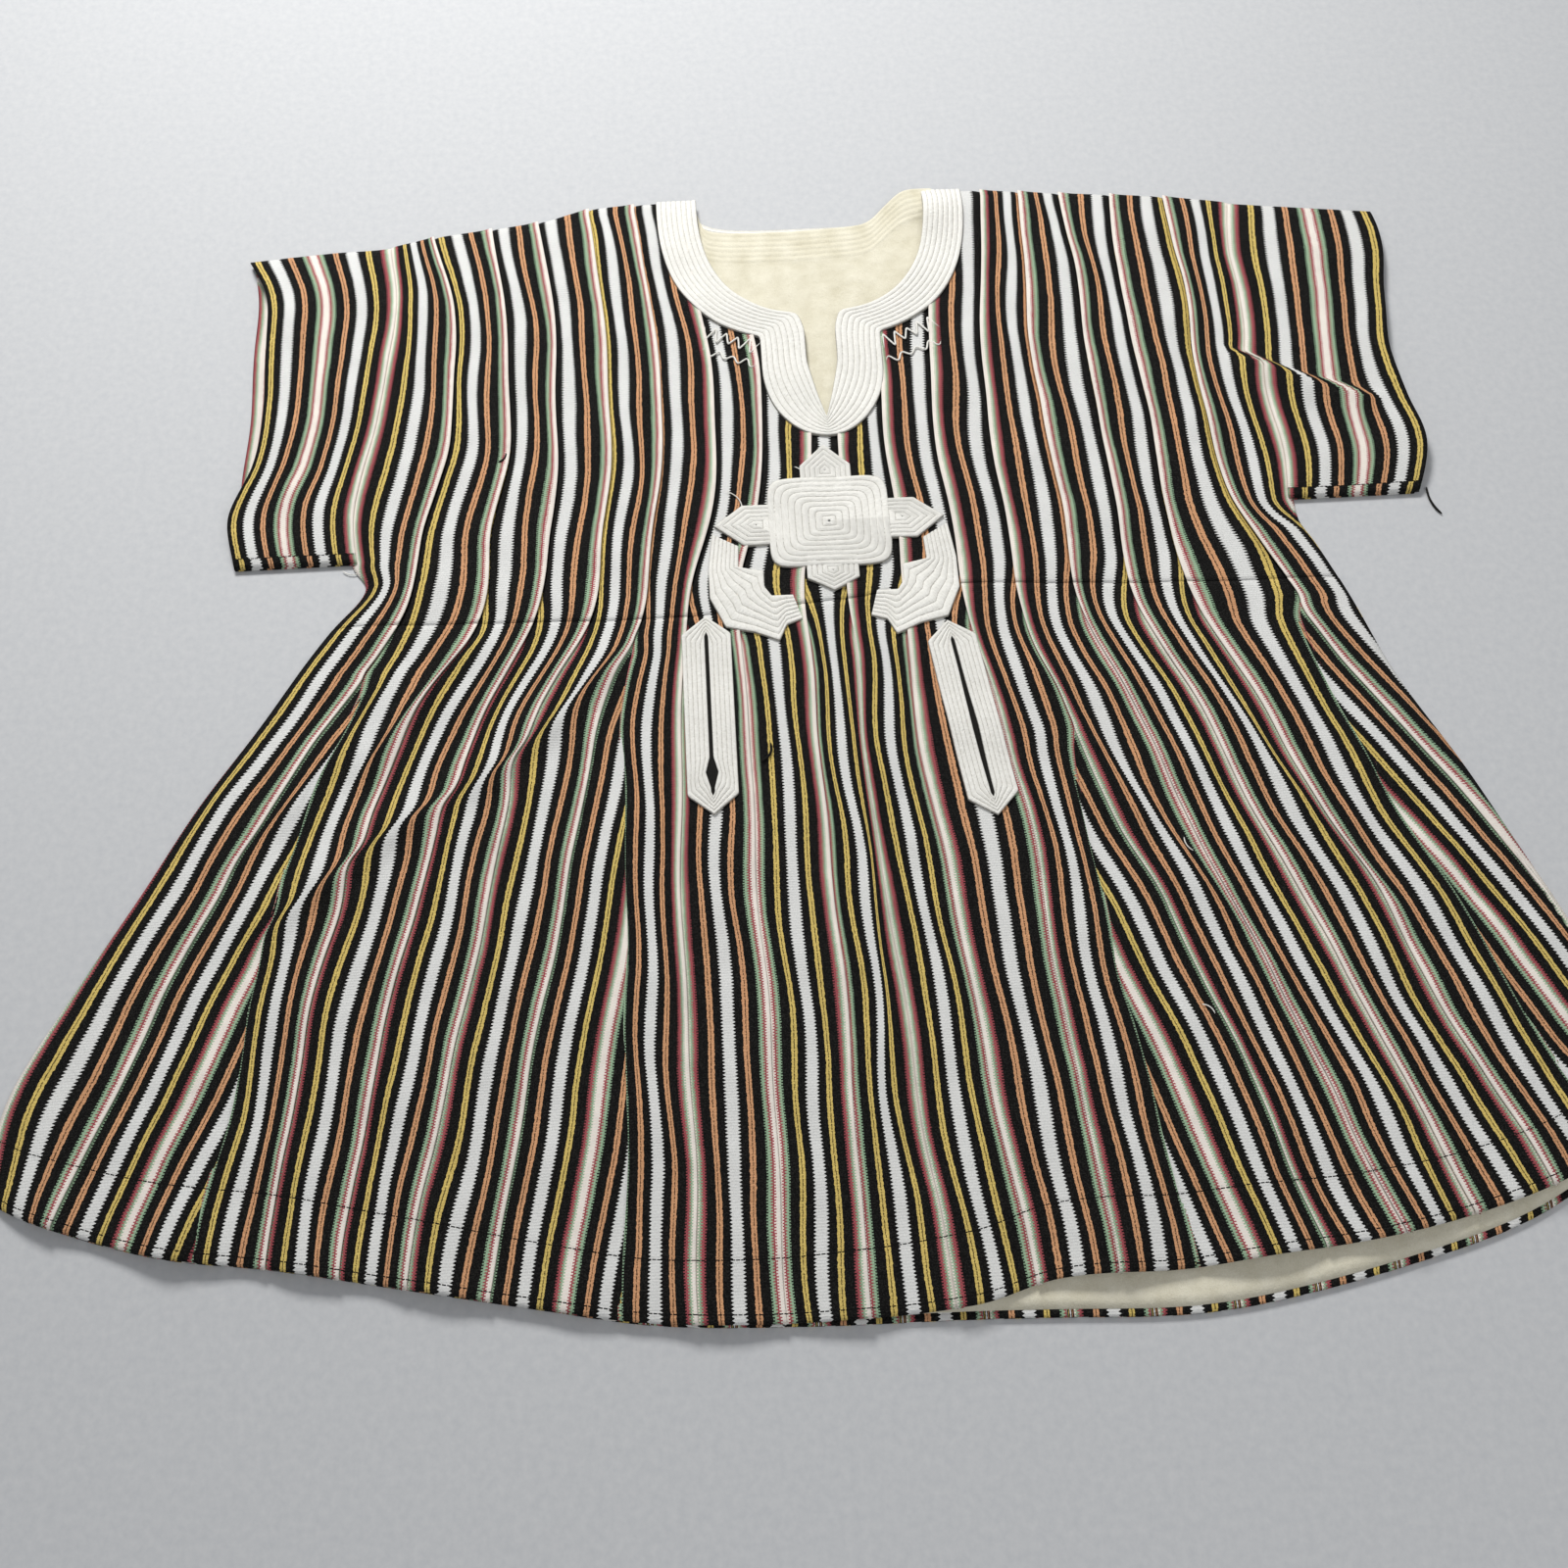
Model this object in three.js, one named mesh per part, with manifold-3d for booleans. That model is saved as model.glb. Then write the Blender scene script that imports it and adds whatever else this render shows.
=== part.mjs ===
// A batakari smock laid flat on its back: strip-woven cotton, tucked to a waist seam, with a flared
// and gored skirt, short one-strip sleeves, a cream lining and white embroidery.
// Millimetres. x runs across the smock, y from the hem towards the neck, z up from the floor.
// The drafting zero is on the centre line of the neck, 480 mm below the top of the shoulders.
import * as THREE from 'three';
import { mergeVertices } from 'three/addons/utils/BufferGeometryUtils.js';
import Module from 'manifold-3d';

const wasm = await Module();
wasm.setup();

// ---- Driving sizes -------------------------------------------------------------------------

const CLOTH = 2; // strip cloth with its backing, sewn together
const LINING = 1;
const SEAM_GAP = 0.3; // clearance between neighbouring pieces
const SEAM_OVERLAP = 3; // pieces that are cut back to a seam start this far beyond it
const EMBROIDERY = 1.8; // packed rows of thick white thread
const LOFT = 3.4; // the front panel stands this far off the back panel
const EDGE_ROLL = 18; // over this width the front comes down to the back at a closed edge
const HALF_STRIPS = 16; // half strips sewn side by side across the body
const TUCK = { height: 1.5, spread: 0.1, fade: 60 }; // ridge along each tucked strip seam
const SHOULDER_LEVEL = 480;
const BODICE_TOP = 466; // level at which the sides of the bodice meet the shoulder line
const SLEEVE_TOP = 454; // level at which a sleeve's armhole edge ends under the shoulder line
const UNDERARM = { left: 141, right: 157 }; // lower edges of the flattened sleeves
const WAIST_LEVEL = 84;
const HEM_CORNER = -325;
const LINING_INSET = 16;
const HEM_FOLD = 8; // the back hem is turned up over the lining by this much
const HEM_FOLD_END = 30; // and the turn-up stops this short of each side seam
const ABOVE = 60; // height of every cutting prism
const BEYOND = 60; // how far a cutting prism runs past an edge

// ---- Outline tables: each row is one measured station --------------------------------------

const SHOULDER = [
  { x: -474, y: 439 }, { x: -405, y: 445 }, { x: -356, y: 447 }, { x: -315, y: 455 },
  { x: -267, y: 461 }, { x: -226, y: 467 }, { x: -191, y: 477 }, { x: -135, y: 480 },
  { x: 0, y: 481 }, { x: 135, y: 479 }, { x: 218, y: 471 }, { x: 298, y: 463 },
  { x: 361, y: 453 }, { x: 474, y: 438 },
];

const BODY_SIDE = [
  { y: -325, left: -590, right: 531 }, { y: -250, left: -577, right: 503 },
  { y: -170, left: -534, right: 474 }, { y: -85, left: -489, right: 440 },
  { y: 0, left: -438, right: 406 }, { y: 85, left: -388, right: 375 },
  { y: 140, left: -373, right: 356 }, { y: 200, left: -371, right: 358 },
  { y: 300, left: -356, right: 348 }, { y: 390, left: -349, right: 348 },
  { y: 460, left: -354, right: 358 },
];

const WAIST = [
  { x: -390, y: 85 }, { x: -224, y: 79 }, { x: -127, y: 77 }, { x: 0, y: 86 },
  { x: 76, y: 94 }, { x: 181, y: 89 }, { x: 286, y: 84 }, { x: 378, y: 85 },
];

const HEM = [
  { x: -590, front: -325, back: -325 }, { x: -560, front: -340, back: -340 },
  { x: -480, front: -366, back: -366 }, { x: -400, front: -379, back: -379 },
  { x: -310, front: -397, back: -397 }, { x: -235, front: -412, back: -412 },
  { x: -155, front: -426, back: -427 }, { x: -60, front: -431, back: -433 },
  { x: 45, front: -427, back: -435 }, { x: 100, front: -414, back: -437 },
  { x: 180, front: -413, back: -440 }, { x: 240, front: -408, back: -435 },
  { x: 330, front: -399, back: -418 }, { x: 410, front: -381, back: -396 },
  { x: 470, front: -358, back: -366 }, { x: 531, front: -325, back: -325 },
];

const CUFF = [
  { along: 0, leftFront: -464, leftBack: -464, rightFront: 457, rightBack: 454 },
  { along: 0.15, leftFront: -471, leftBack: -464, rightFront: 469, rightBack: 456 },
  { along: 0.3, leftFront: -456, leftBack: -465, rightFront: 466, rightBack: 458 },
  { along: 0.5, leftFront: -451, leftBack: -463, rightFront: 462, rightBack: 458 },
  { along: 0.7, leftFront: -450, leftBack: -462, rightFront: 470, rightBack: 464 },
  { along: 0.85, leftFront: -454, leftBack: -463, rightFront: 477, rightBack: 472 },
  { along: 1, leftFront: -473, leftBack: -470, rightFront: 474, rightBack: 474 },
];

// ---- Form tables ---------------------------------------------------------------------------

// Creases of the front cloth. Each runs from (x0, y0) to (x1, y1), bowed sideways in its middle,
// and falls off over the width `up` on its upper side and `down` on its lower side.
const CREASES = [
  { x0: -150, y0: 78, x1: -300, y1: -70, bow: -10, up: 26, down: 13, height: 5.5 },
  { x0: -270, y0: -44, x1: -440, y1: -175, bow: 8, up: 24, down: 14, height: 5 },
  { x0: -320, y0: 74, x1: -462, y1: -120, bow: -8, up: 18, down: 12, height: 3.5 },
  { x0: -262, y0: 82, x1: -372, y1: -60, bow: 6, up: 15, down: 10, height: 3 },
  { x0: 118, y0: 80, x1: 300, y1: -250, bow: 10, up: 22, down: 14, height: 5 },
  { x0: 235, y0: 80, x1: 392, y1: -215, bow: 8, up: 18, down: 12, height: 3.5 },
  { x0: 4, y0: 50, x1: -2, y1: -330, bow: -4, up: 16, down: 16, height: 4 },
  { x0: -172, y0: -60, x1: -172, y1: -250, bow: 3, up: 14, down: 18, height: 3 },
  { x0: 318, y0: 306, x1: 455, y1: 240, bow: 6, up: 13, down: 8, height: 5 },
  { x0: -330, y0: 420, x1: -352, y1: 190, bow: 8, up: 14, down: 14, height: 2.5 },
  { x0: -425, y0: 425, x1: -420, y1: 170, bow: 12, up: 13, down: 13, height: 2.5 },
  { x0: -235, y0: 440, x1: -290, y1: 150, bow: 6, up: 16, down: 16, height: 2 },
  { x0: 240, y0: 430, x1: 300, y1: 150, bow: -8, up: 18, down: 16, height: 2.2 },
  { x0: 410, y0: 420, x1: 425, y1: 290, bow: 5, up: 13, down: 13, height: 2.5 },
];

// Soft flutes that rise to the front hem. `across` is the place along the hem from 0 to 1.
const FLUTES = [
  { across: 0.035, width: 22, height: 4, reach: 150 }, { across: 0.11, width: 26, height: 6, reach: 210 },
  { across: 0.185, width: 24, height: 4, reach: 150 }, { across: 0.265, width: 30, height: 5, reach: 240 },
  { across: 0.345, width: 24, height: 3, reach: 150 }, { across: 0.42, width: 26, height: 4.5, reach: 220 },
  { across: 0.495, width: 24, height: 3, reach: 140 }, { across: 0.565, width: 26, height: 5, reach: 200 },
  { across: 0.65, width: 34, height: 8, reach: 200 }, { across: 0.735, width: 36, height: 9, reach: 260 },
  { across: 0.82, width: 34, height: 9, reach: 220 }, { across: 0.9, width: 28, height: 6, reach: 190 },
  { across: 0.965, width: 20, height: 4, reach: 130 },
];

// The collar's right shoulder stands up in a rounded loop that was never pressed flat.
// `lining` is how far it lifts the back lining behind it.
const COLLAR_LOOP = { x: 106, y: 462, rise: 11, spreadX: 26, spreadY: 26, lining: 6, liningSpreadY: 16 };

// The cuffs gape a little. `y` is where each one gapes most.
const CUFF_GAPE = { x: 466, depth: 34, leftY: 385, rightY: 215, spreadY: 105, rise: 4.5 };

// Gores let into the skirt, each a wedge of strip cloth from its blunt tip to below the hem. One
// edge follows a strip seam and the other is cut across the stripes.
const GORES = [
  { name: 'outer_left', edges: [
    { y: 40, left: -358, right: -356 }, { y: -10, left: -403, right: -381 },
    { y: -150, left: -461, right: -419 }, { y: -330, left: -536, right: -446 },
    { y: -500, left: -607, right: -480 },
  ] },
  { name: 'inner_left', edges: [
    { y: 58, left: -158, right: -156 }, { y: -20, left: -190, right: -172 },
    { y: -170, left: -218, right: -171 }, { y: -360, left: -254, right: -178 },
    { y: -500, left: -280, right: -183 },
  ] },
  { name: 'inner_right', edges: [
    { y: -35, left: 156, right: 158 }, { y: -110, left: 161, right: 182 },
    { y: -170, left: 167, right: 208 }, { y: -367, left: 187, right: 264 },
    { y: -500, left: 199, right: 302 },
  ] },
  { name: 'outer_right', edges: [
    { y: 62, left: 336, right: 338 }, { y: 17, left: 348, right: 363 },
    { y: -108, left: 387, right: 439 }, { y: -177, left: 414, right: 477 },
    { y: -345, left: 472, right: 560 }, { y: -500, left: 525, right: 637 },
  ] },
];
const GORE_CLEAR = { tip: 0.5, side: 0.35 }; // the panel is cut back this far round each gore

// Neck: a rounded opening with a pointed slit, and the embroidered band around it.
const NECK = {
  x: -1, power: 2.6,
  inner: { halfWidth: 96, depth: 125, slitHalfWidth: 17 },
  outer: { halfWidth: 130, depth: 152, slitHalfWidth: 49 },
  // Half widths of the slit at its levels, down to its point.
  slit: [
    { y: 339, halfWidth: 12.5 }, { y: 305, halfWidth: 12.5 }, { y: 275, halfWidth: 6.2 },
    { y: 252, halfWidth: 0 },
  ],
  tongue: { y: 300, point: 233 }, // the band's pointed foot below the slit
};
const BACK_NECK = { halfWidth: 97, depth: 31, band: 34, power: 4 };

// Chest cross: a rounded block with four pointed lobes, and a hook below each side lobe.
const CROSS = {
  x: -6, y: 154, blockHalfWidth: 47, blockHalfHeight: 40, corner: 12,
  top: { width: 40, shoulder: 51, tip: 70 }, bottom: { width: 40, shoulder: 50, tip: 61 },
  side: { width: 36, shoulder: 67, tip: 89 },
};
// Corners of the right hook, measured from the middle of the cross.
const HOOK = [
  { x: 91, y: -7 }, { x: 95, y: -37 }, { x: 95, y: -63 }, { x: 84, y: -88 }, { x: 63, y: -93 },
  { x: 44, y: -101 }, { x: 38, y: -88 }, { x: 26, y: -84 }, { x: 32, y: -63 }, { x: 48, y: -63 },
  { x: 53, y: -55 }, { x: 53, y: -41 }, { x: 72, y: -37 }, { x: 72, y: -20 }, { x: 71, y: -19 },
];

// Pocket welts: long hexagons, each slit down its middle.
const WELTS = [
  { name: 'left', x: -105, y: -4, lean: 0, slitWidth: 2.6, slitTop: 64, slitBottom: -58,
    eyeY: -48, eyeWidth: 9, eyeLength: 24 },
  { name: 'right', x: 87, y: -17, lean: 7.5, slitWidth: 3.2, slitTop: 64, slitBottom: -66,
    eyeY: -10, eyeWidth: 4.4, eyeLength: 90 },
];
const WELT = { width: 37, length: 160, point: 15 };

// ---- Colours -------------------------------------------------------------------------------

const cloth = new THREE.MeshStandardMaterial({ color: 0x3a3733, roughness: 0.9, metalness: 0 });
const goreCloth = new THREE.MeshStandardMaterial({ color: 0x6d4a3c, roughness: 0.9, metalness: 0 });
const liningCloth = new THREE.MeshStandardMaterial({ color: 0xe5dcbd, roughness: 0.95, metalness: 0 });
const thread = new THREE.MeshStandardMaterial({ color: 0xe9e6dd, roughness: 0.8, metalness: 0 });

// ---- Small helpers -------------------------------------------------------------------------

const { clamp, lerp, smoothstep, degToRad } = THREE.MathUtils;
const bell = (distance, spread) => Math.exp(-((distance / spread) ** 2));
const steps = (count) => Array.from({ length: count + 1 }, (_, i) => i / count);

// A smooth curve through a table: value[to] at a given value[from], with rows sorted by `from`.
function smoothTable(rows, from, to) {
  const at = rows.map((row) => row[from]);
  const value = rows.map((row) => row[to]);
  const last = rows.length - 1;
  const slope = value.map((_, i) => {
    const before = Math.max(i - 1, 0);
    const after = Math.min(i + 1, last);
    return (value[after] - value[before]) / (at[after] - at[before]);
  });
  return (wanted) => {
    const place = clamp(wanted, at[0], at[last]);
    let i = 0;
    while (i < last - 1 && place > at[i + 1]) i += 1;
    const span = at[i + 1] - at[i];
    const t = (place - at[i]) / span;
    return (2 * t ** 3 - 3 * t ** 2 + 1) * value[i] + (t ** 3 - 2 * t ** 2 + t) * span * slope[i]
      + (3 * t ** 2 - 2 * t ** 3) * value[i + 1] + (t ** 3 - t ** 2) * span * slope[i + 1];
  };
}

const shoulderAt = smoothTable(SHOULDER, 'x', 'y');
const leftAt = smoothTable(BODY_SIDE, 'y', 'left');
const rightAt = smoothTable(BODY_SIDE, 'y', 'right');
const waistAt = smoothTable(WAIST, 'x', 'y');
const hemAt = { front: smoothTable(HEM, 'x', 'front'), back: smoothTable(HEM, 'x', 'back') };
const cuffAt = (side, layer) => smoothTable(CUFF, 'along', side + layer);

// A geometry from points and triangles, turned right side out.
function closedGeometry(points, triangles) {
  let volume = 0;
  for (const [a, b, c] of triangles) volume += points[a].dot(points[b].clone().cross(points[c]));
  const faces = volume < 0 ? triangles.map(([a, b, c]) => [a, c, b]) : triangles;
  const geometry = new THREE.BufferGeometry().setFromPoints(points);
  geometry.setIndex(faces.flat());
  return geometry;
}

// A closed wall between two sheets of points on one grid of columns and rows.
function wall(columns, rows, outerPoint, innerPoint) {
  const across = columns.length;
  const sheet = (pointAt) => rows.flatMap((v) => columns.map((u) => pointAt(u, v)));
  const points = [...sheet(outerPoint), ...sheet(innerPoint)];
  const inside = across * rows.length;
  const triangles = [];
  const quad = (a, b, c, d) => triangles.push([a, b, c], [a, c, d]);
  for (let j = 0; j < rows.length - 1; j += 1) {
    const row = j * across;
    for (let i = 0; i < across - 1; i += 1) {
      const [a, b, c, d] = [row + i, row + i + 1, row + across + i + 1, row + across + i];
      quad(a, d, c, b);
      quad(inside + a, inside + b, inside + c, inside + d);
    }
    const [first, last] = [row, row + across - 1];
    quad(inside + first, inside + first + across, first + across, first);
    quad(inside + last + across, inside + last, last, last + across);
  }
  const foot = (rows.length - 1) * across;
  for (let i = 0; i < across - 1; i += 1) {
    quad(inside + i + 1, inside + i, i, i + 1);
    quad(inside + foot + i, inside + foot + i + 1, foot + i + 1, foot + i);
  }
  return closedGeometry(points, triangles);
}

// A closed tube wall: rings of outer and inner points at each station along the tube.
function tubeWall(stations, outerRing, innerRing) {
  const outer = stations.map(outerRing);
  const inner = stations.map(innerRing);
  const count = outer[0].length;
  const inside = count * stations.length;
  const triangles = [];
  const quad = (a, b, c, d) => triangles.push([a, b, c], [a, c, d]);
  for (let k = 0; k < count; k += 1) {
    const next = (k + 1) % count;
    for (let j = 0; j < stations.length - 1; j += 1) {
      const [here, there] = [j * count, (j + 1) * count];
      quad(here + k, here + next, there + next, there + k);
      quad(inside + here + next, inside + here + k, inside + there + k, inside + there + next);
    }
    const end = (stations.length - 1) * count;
    quad(next, k, inside + k, inside + next);
    quad(end + k, end + next, inside + end + next, inside + end + k);
  }
  return closedGeometry([...outer.flat(), ...inner.flat()], triangles);
}

// A plate or cutting prism: a closed outline of [x, y] pairs, from z = low to z = high.
function prism(outline, low, high) {
  const shape = new THREE.Shape(outline.map(([x, y]) => new THREE.Vector2(x, y)));
  const geometry = new THREE.ExtrudeGeometry(shape, { depth: high - low, bevelEnabled: false });
  return solid(geometry.translate(0, 0, low));
}

function solid(geometry) {
  const bare = geometry.index ? geometry.clone() : geometry;
  bare.deleteAttribute('normal');
  bare.deleteAttribute('uv');
  const merged = mergeVertices(bare, 1e-4);
  return new wasm.Manifold(new wasm.Mesh({
    numProp: 3,
    vertProperties: new Float32Array(merged.attributes.position.array),
    triVerts: new Uint32Array(merged.index.array),
  }));
}

function geometryOf(body) {
  const mesh = body.getMesh();
  const geometry = new THREE.BufferGeometry();
  geometry.setAttribute('position', new THREE.BufferAttribute(new Float32Array(mesh.vertProperties), 3));
  geometry.setIndex(new THREE.BufferAttribute(new Uint32Array(mesh.triVerts), 1));
  return geometry;
}

const turned = (outline, degrees, x, y) => outline.map(([a, b]) => {
  const point = new THREE.Vector2(a, b).rotateAround(new THREE.Vector2(), degToRad(degrees));
  return [point.x + x, point.y + y];
});

// ---- The lie of the front cloth ------------------------------------------------------------

const CREASE_END = 0.25; // share of its length over which a crease dies away at each end

// Height that one crease adds at a place on the front.
function creaseHeight({ x0, y0, x1, y1, bow, up, down, height }, x, y) {
  const run = new THREE.Vector2(x1 - x0, y1 - y0);
  const length = run.length();
  const t = ((x - x0) * run.x + (y - y0) * run.y) / length ** 2;
  if (t <= 0 || t >= 1) return 0;
  const aside = ((x - x0) * run.y - (y - y0) * run.x) / length - bow * 4 * t * (1 - t);
  const ends = smoothstep(t, 0, CREASE_END) * smoothstep(1 - t, 0, CREASE_END);
  return height * ends * bell(aside, aside > 0 ? up : down);
}

// Height that the hem's flutes add: each keeps its place across the skirt and fades upwards.
function fluteHeight(x, y) {
  const [left, right] = [leftAt(y), rightAt(y)];
  const aboveHem = y - hemAt.front(x);
  return FLUTES.reduce((sum, { across, width, height, reach }) => (
    sum + height * bell(x - lerp(left, right, across), width) * (1 - smoothstep(aboveHem, 0, reach))
  ), 0);
}

function loopHeight(x, y) {
  const { x: cx, y: cy, rise, spreadX, spreadY } = COLLAR_LOOP;
  return rise * bell(x - cx, spreadX) * bell(y - cy, spreadY);
}

function gapeHeight(x, y) {
  const { x: cuffX, depth, leftY, rightY, spreadY, rise } = CUFF_GAPE;
  const left = bell(x + cuffX, depth) * bell(y - leftY, spreadY);
  const right = bell(x - cuffX, depth) * bell(y - rightY, spreadY);
  return rise * (left + right);
}

// Distance from a place on the front to the nearest closed edge of the laid-out smock.
function edgeDistance(x, y) {
  const fromShoulder = shoulderAt(x) - y;
  const underarm = x < 0 ? UNDERARM.left : UNDERARM.right;
  const side = x < 0 ? leftAt(Math.min(y, underarm)) : rightAt(Math.min(y, underarm));
  const insideSide = x < 0 ? x - side : side - x;
  const aboveUnderarm = y - underarm;
  let fromSide;
  if (aboveUnderarm <= 0) fromSide = insideSide;
  else if (insideSide <= 0) fromSide = aboveUnderarm;
  else fromSide = Math.hypot(insideSide, aboveUnderarm);
  return Math.max(Math.min(fromShoulder, fromSide), 0);
}

// Underside of the front cloth at a place on the laid-out smock.
function frontUnderside(x, y) {
  const creases = CREASES.reduce((sum, crease) => sum + creaseHeight(crease, x, y), 0);
  const stand = LOFT + creases + fluteHeight(x, y) + loopHeight(x, y) + gapeHeight(x, y);
  return CLOTH + SEAM_GAP + stand * (1 - Math.exp(-edgeDistance(x, y) / EDGE_ROLL));
}

// The tucks press flat below the waist, where they end.
function tuckHeight(across, y) {
  const strip = across * HALF_STRIPS;
  const fromSeam = Math.abs(strip - Math.round(strip)) / TUCK.spread;
  const lasting = smoothstep(y, WAIST_LEVEL - TUCK.fade, WAIST_LEVEL);
  return TUCK.height * Math.max(1 - fromSeam, 0) * lasting;
}

// ---- Body panels ---------------------------------------------------------------------------

// Places on the bodice: u from the left armhole to the right, v from the shoulder to the waist.
function bodicePlace(u, v) {
  const level = lerp(BODICE_TOP, WAIST_LEVEL, v);
  const x = lerp(leftAt(level), rightAt(level), u);
  return [x, lerp(shoulderAt(x), waistAt(x) + SEAM_GAP / 2, v)];
}

// Places on the skirt: u from side to side, v from the waist to the hem.
const skirtPlace = (layer) => (u, v) => {
  const level = lerp(WAIST_LEVEL, HEM_CORNER, v);
  const x = lerp(leftAt(level), rightAt(level), u);
  return [x, lerp(waistAt(x) - SEAM_GAP / 2, hemAt[layer](x), v)];
};

// A layer over the front: the cloth itself, or embroidery moved out from the cloth's own points.
function frontLayer(columns, rows, place, low, high) {
  const pointAt = (offset, tucked) => (u, v) => {
    const [x, y] = place(u, v);
    return new THREE.Vector3(x, y, frontUnderside(x, y) + offset + (tucked ? tuckHeight(u, y) : 0));
  };
  return solid(wall(columns, rows, pointAt(high, true), pointAt(low, low > 0)));
}

const seamColumns = Array.from({ length: HALF_STRIPS }, (_, k) => (
  [0, TUCK.spread, 0.5, 1 - TUCK.spread].map((part) => (k + part) / HALF_STRIPS)
)).flat().concat(1);
const skirtColumns = steps(HALF_STRIPS * 3);
const bodiceRows = [0, 0.015, 0.045, 0.09, 0.16, 0.25, 0.35, 0.45, 0.55, 0.65, 0.75, 0.85, 0.93, 1];
const skirtRows = [0, 0.06, 0.13, 0.21, 0.29, 0.37, 0.45, 0.53, 0.61, 0.69, 0.77, 0.85, 0.93, 1];

// ---- Neck outlines -------------------------------------------------------------------------

// Right half of a neck outline, from the shoulder down to the head of the slit.
function neckBowl({ halfWidth, depth, slitHalfWidth }) {
  const { power } = NECK;
  const cornerAngle = Math.acos((slitHalfWidth / halfWidth) ** (power / 2));
  return steps(14).map((t) => [
    halfWidth * Math.cos(t * cornerAngle) ** (2 / power),
    SHOULDER_LEVEL - depth * Math.sin(t * cornerAngle) ** (2 / power),
  ]);
}

const innerHalf = [...neckBowl(NECK.inner), ...NECK.slit.map(({ y, halfWidth }) => [halfWidth, y])];
const outerHalf = [...neckBowl(NECK.outer), ...steps(6).map((t) => [
  NECK.outer.slitHalfWidth * Math.cos(t * Math.PI / 2),
  NECK.tongue.y - (NECK.tongue.y - NECK.tongue.point) * Math.sin(t * Math.PI / 2),
])];
const atNeck = (outline) => outline.map(([x, y]) => [x + NECK.x, y]);
const mirrored = (outline) => outline.map(([x, y]) => [-x, y]).reverse();
const raised = ([x]) => [x, SHOULDER_LEVEL + BEYOND];

// The whole opening, run out past the shoulder line.
const neckHole = atNeck([
  raised(innerHalf[0]), ...innerHalf, ...mirrored(innerHalf.slice(0, -1)), raised([-innerHalf[0][0]]),
]);

const bandOutline = atNeck([
  raised(outerHalf[0]), ...outerHalf, ...mirrored(outerHalf.slice(0, -1)), raised([-outerHalf[0][0]]),
  raised([-innerHalf[0][0]]), ...mirrored(innerHalf).reverse(),
  ...innerHalf.slice(0, -1).reverse(), raised(innerHalf[0]),
]);

// A shallow scoop in the back, widened by `grow` on every side.
function backNeck(grow) {
  const { halfWidth, depth, power } = BACK_NECK;
  const bowl = steps(24).map((t) => {
    const angle = t * Math.PI;
    const [c, s] = [Math.cos(angle), Math.sin(angle)];
    return [
      Math.sign(c) * (halfWidth + grow) * Math.abs(c) ** (2 / power) + NECK.x,
      SHOULDER_LEVEL - (depth + grow) * Math.max(s, 0) ** (2 / power),
    ];
  });
  const edge = halfWidth + grow;
  return [[NECK.x + edge, SHOULDER_LEVEL + BEYOND], ...bowl, [NECK.x - edge, SHOULDER_LEVEL + BEYOND]];
}

// ---- Embroidery outlines -------------------------------------------------------------------

// A pointed lobe that runs out from the origin along +y.
const lobe = ({ width, shoulder, tip }) => [
  [-width / 2, 0], [width / 2, 0], [width / 2, shoulder], [0, tip], [-width / 2, shoulder],
];

function roundedBlock(halfWidth, halfHeight, corner) {
  const centres = [[1, -1], [1, 1], [-1, 1], [-1, -1]];
  return centres.flatMap(([sx, sy], quarter) => steps(4).map((t) => {
    const angle = (quarter - 1 + t) * Math.PI / 2;
    return [
      sx * (halfWidth - corner) + corner * Math.cos(angle),
      sy * (halfHeight - corner) + corner * Math.sin(angle),
    ];
  }));
}

function crossSolid() {
  const { x, y, top, bottom, side } = CROSS;
  const cut = (outline, degrees) => prism(turned(outline, degrees, x, y), 0, ABOVE);
  return cut(roundedBlock(CROSS.blockHalfWidth, CROSS.blockHalfHeight, CROSS.corner), 0)
    .add(cut(lobe(top), 0))
    .add(cut(lobe(side), 90))
    .add(cut(lobe(bottom), 180))
    .add(cut(lobe(side), -90));
}

// The hook on one side: `hand` is 1 for the right one and -1 for its mirror image.
function hookOutline(hand) {
  const placed = HOOK.map(({ x, y }) => [hand * x + CROSS.x, y + CROSS.y]);
  return hand > 0 ? placed.reverse() : placed;
}

function weltOutline() {
  const { width, length, point } = WELT;
  const [half, end] = [width / 2, length / 2];
  return [
    [half, end - point], [0, end], [-half, end - point],
    [-half, point - end], [0, -end], [half, point - end],
  ];
}

// A pocket slit with a wider eye where it gapes.
function slitSolid({ x, y, lean, slitWidth, slitTop, slitBottom, eyeY, eyeWidth, eyeLength }) {
  const half = slitWidth / 2;
  const slit = [[half, slitTop], [-half, slitTop], [-half, slitBottom], [half, slitBottom]];
  const eye = [
    [eyeWidth / 2, eyeY], [0, eyeY + eyeLength / 2], [-eyeWidth / 2, eyeY], [0, eyeY - eyeLength / 2],
  ];
  return prism(turned(slit, lean, x, y), 0, ABOVE).add(prism(turned(eye, lean, x, y), 0, ABOVE));
}

// A gore's outline run down past the hem, or that outline grown by the seam's clearance.
function goreSolid({ edges }, clearance) {
  const [tip, side] = clearance ? [GORE_CLEAR.tip, GORE_CLEAR.side] : [0, 0];
  const level = (y, i) => (i === 0 ? y + tip : y);
  // A leaning edge moves further sideways for the same clearance.
  const lean = (to) => edges.map((row, i) => {
    const [before, after] = [edges[Math.max(i - 1, 0)], edges[Math.min(i + 1, edges.length - 1)]];
    return Math.hypot(1, (after[to] - before[to]) / (after.y - before.y));
  });
  const [leftLean, rightLean] = [lean('left'), lean('right')];
  const down = edges.map(({ y, left }, i) => [left - side * leftLean[i], level(y, i)]);
  const up = edges.map(({ y, right }, i) => [right + side * rightLean[i], level(y, i)]).reverse();
  return prism([...down, ...up], -1, ABOVE);
}

// ---- Pieces --------------------------------------------------------------------------------

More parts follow.
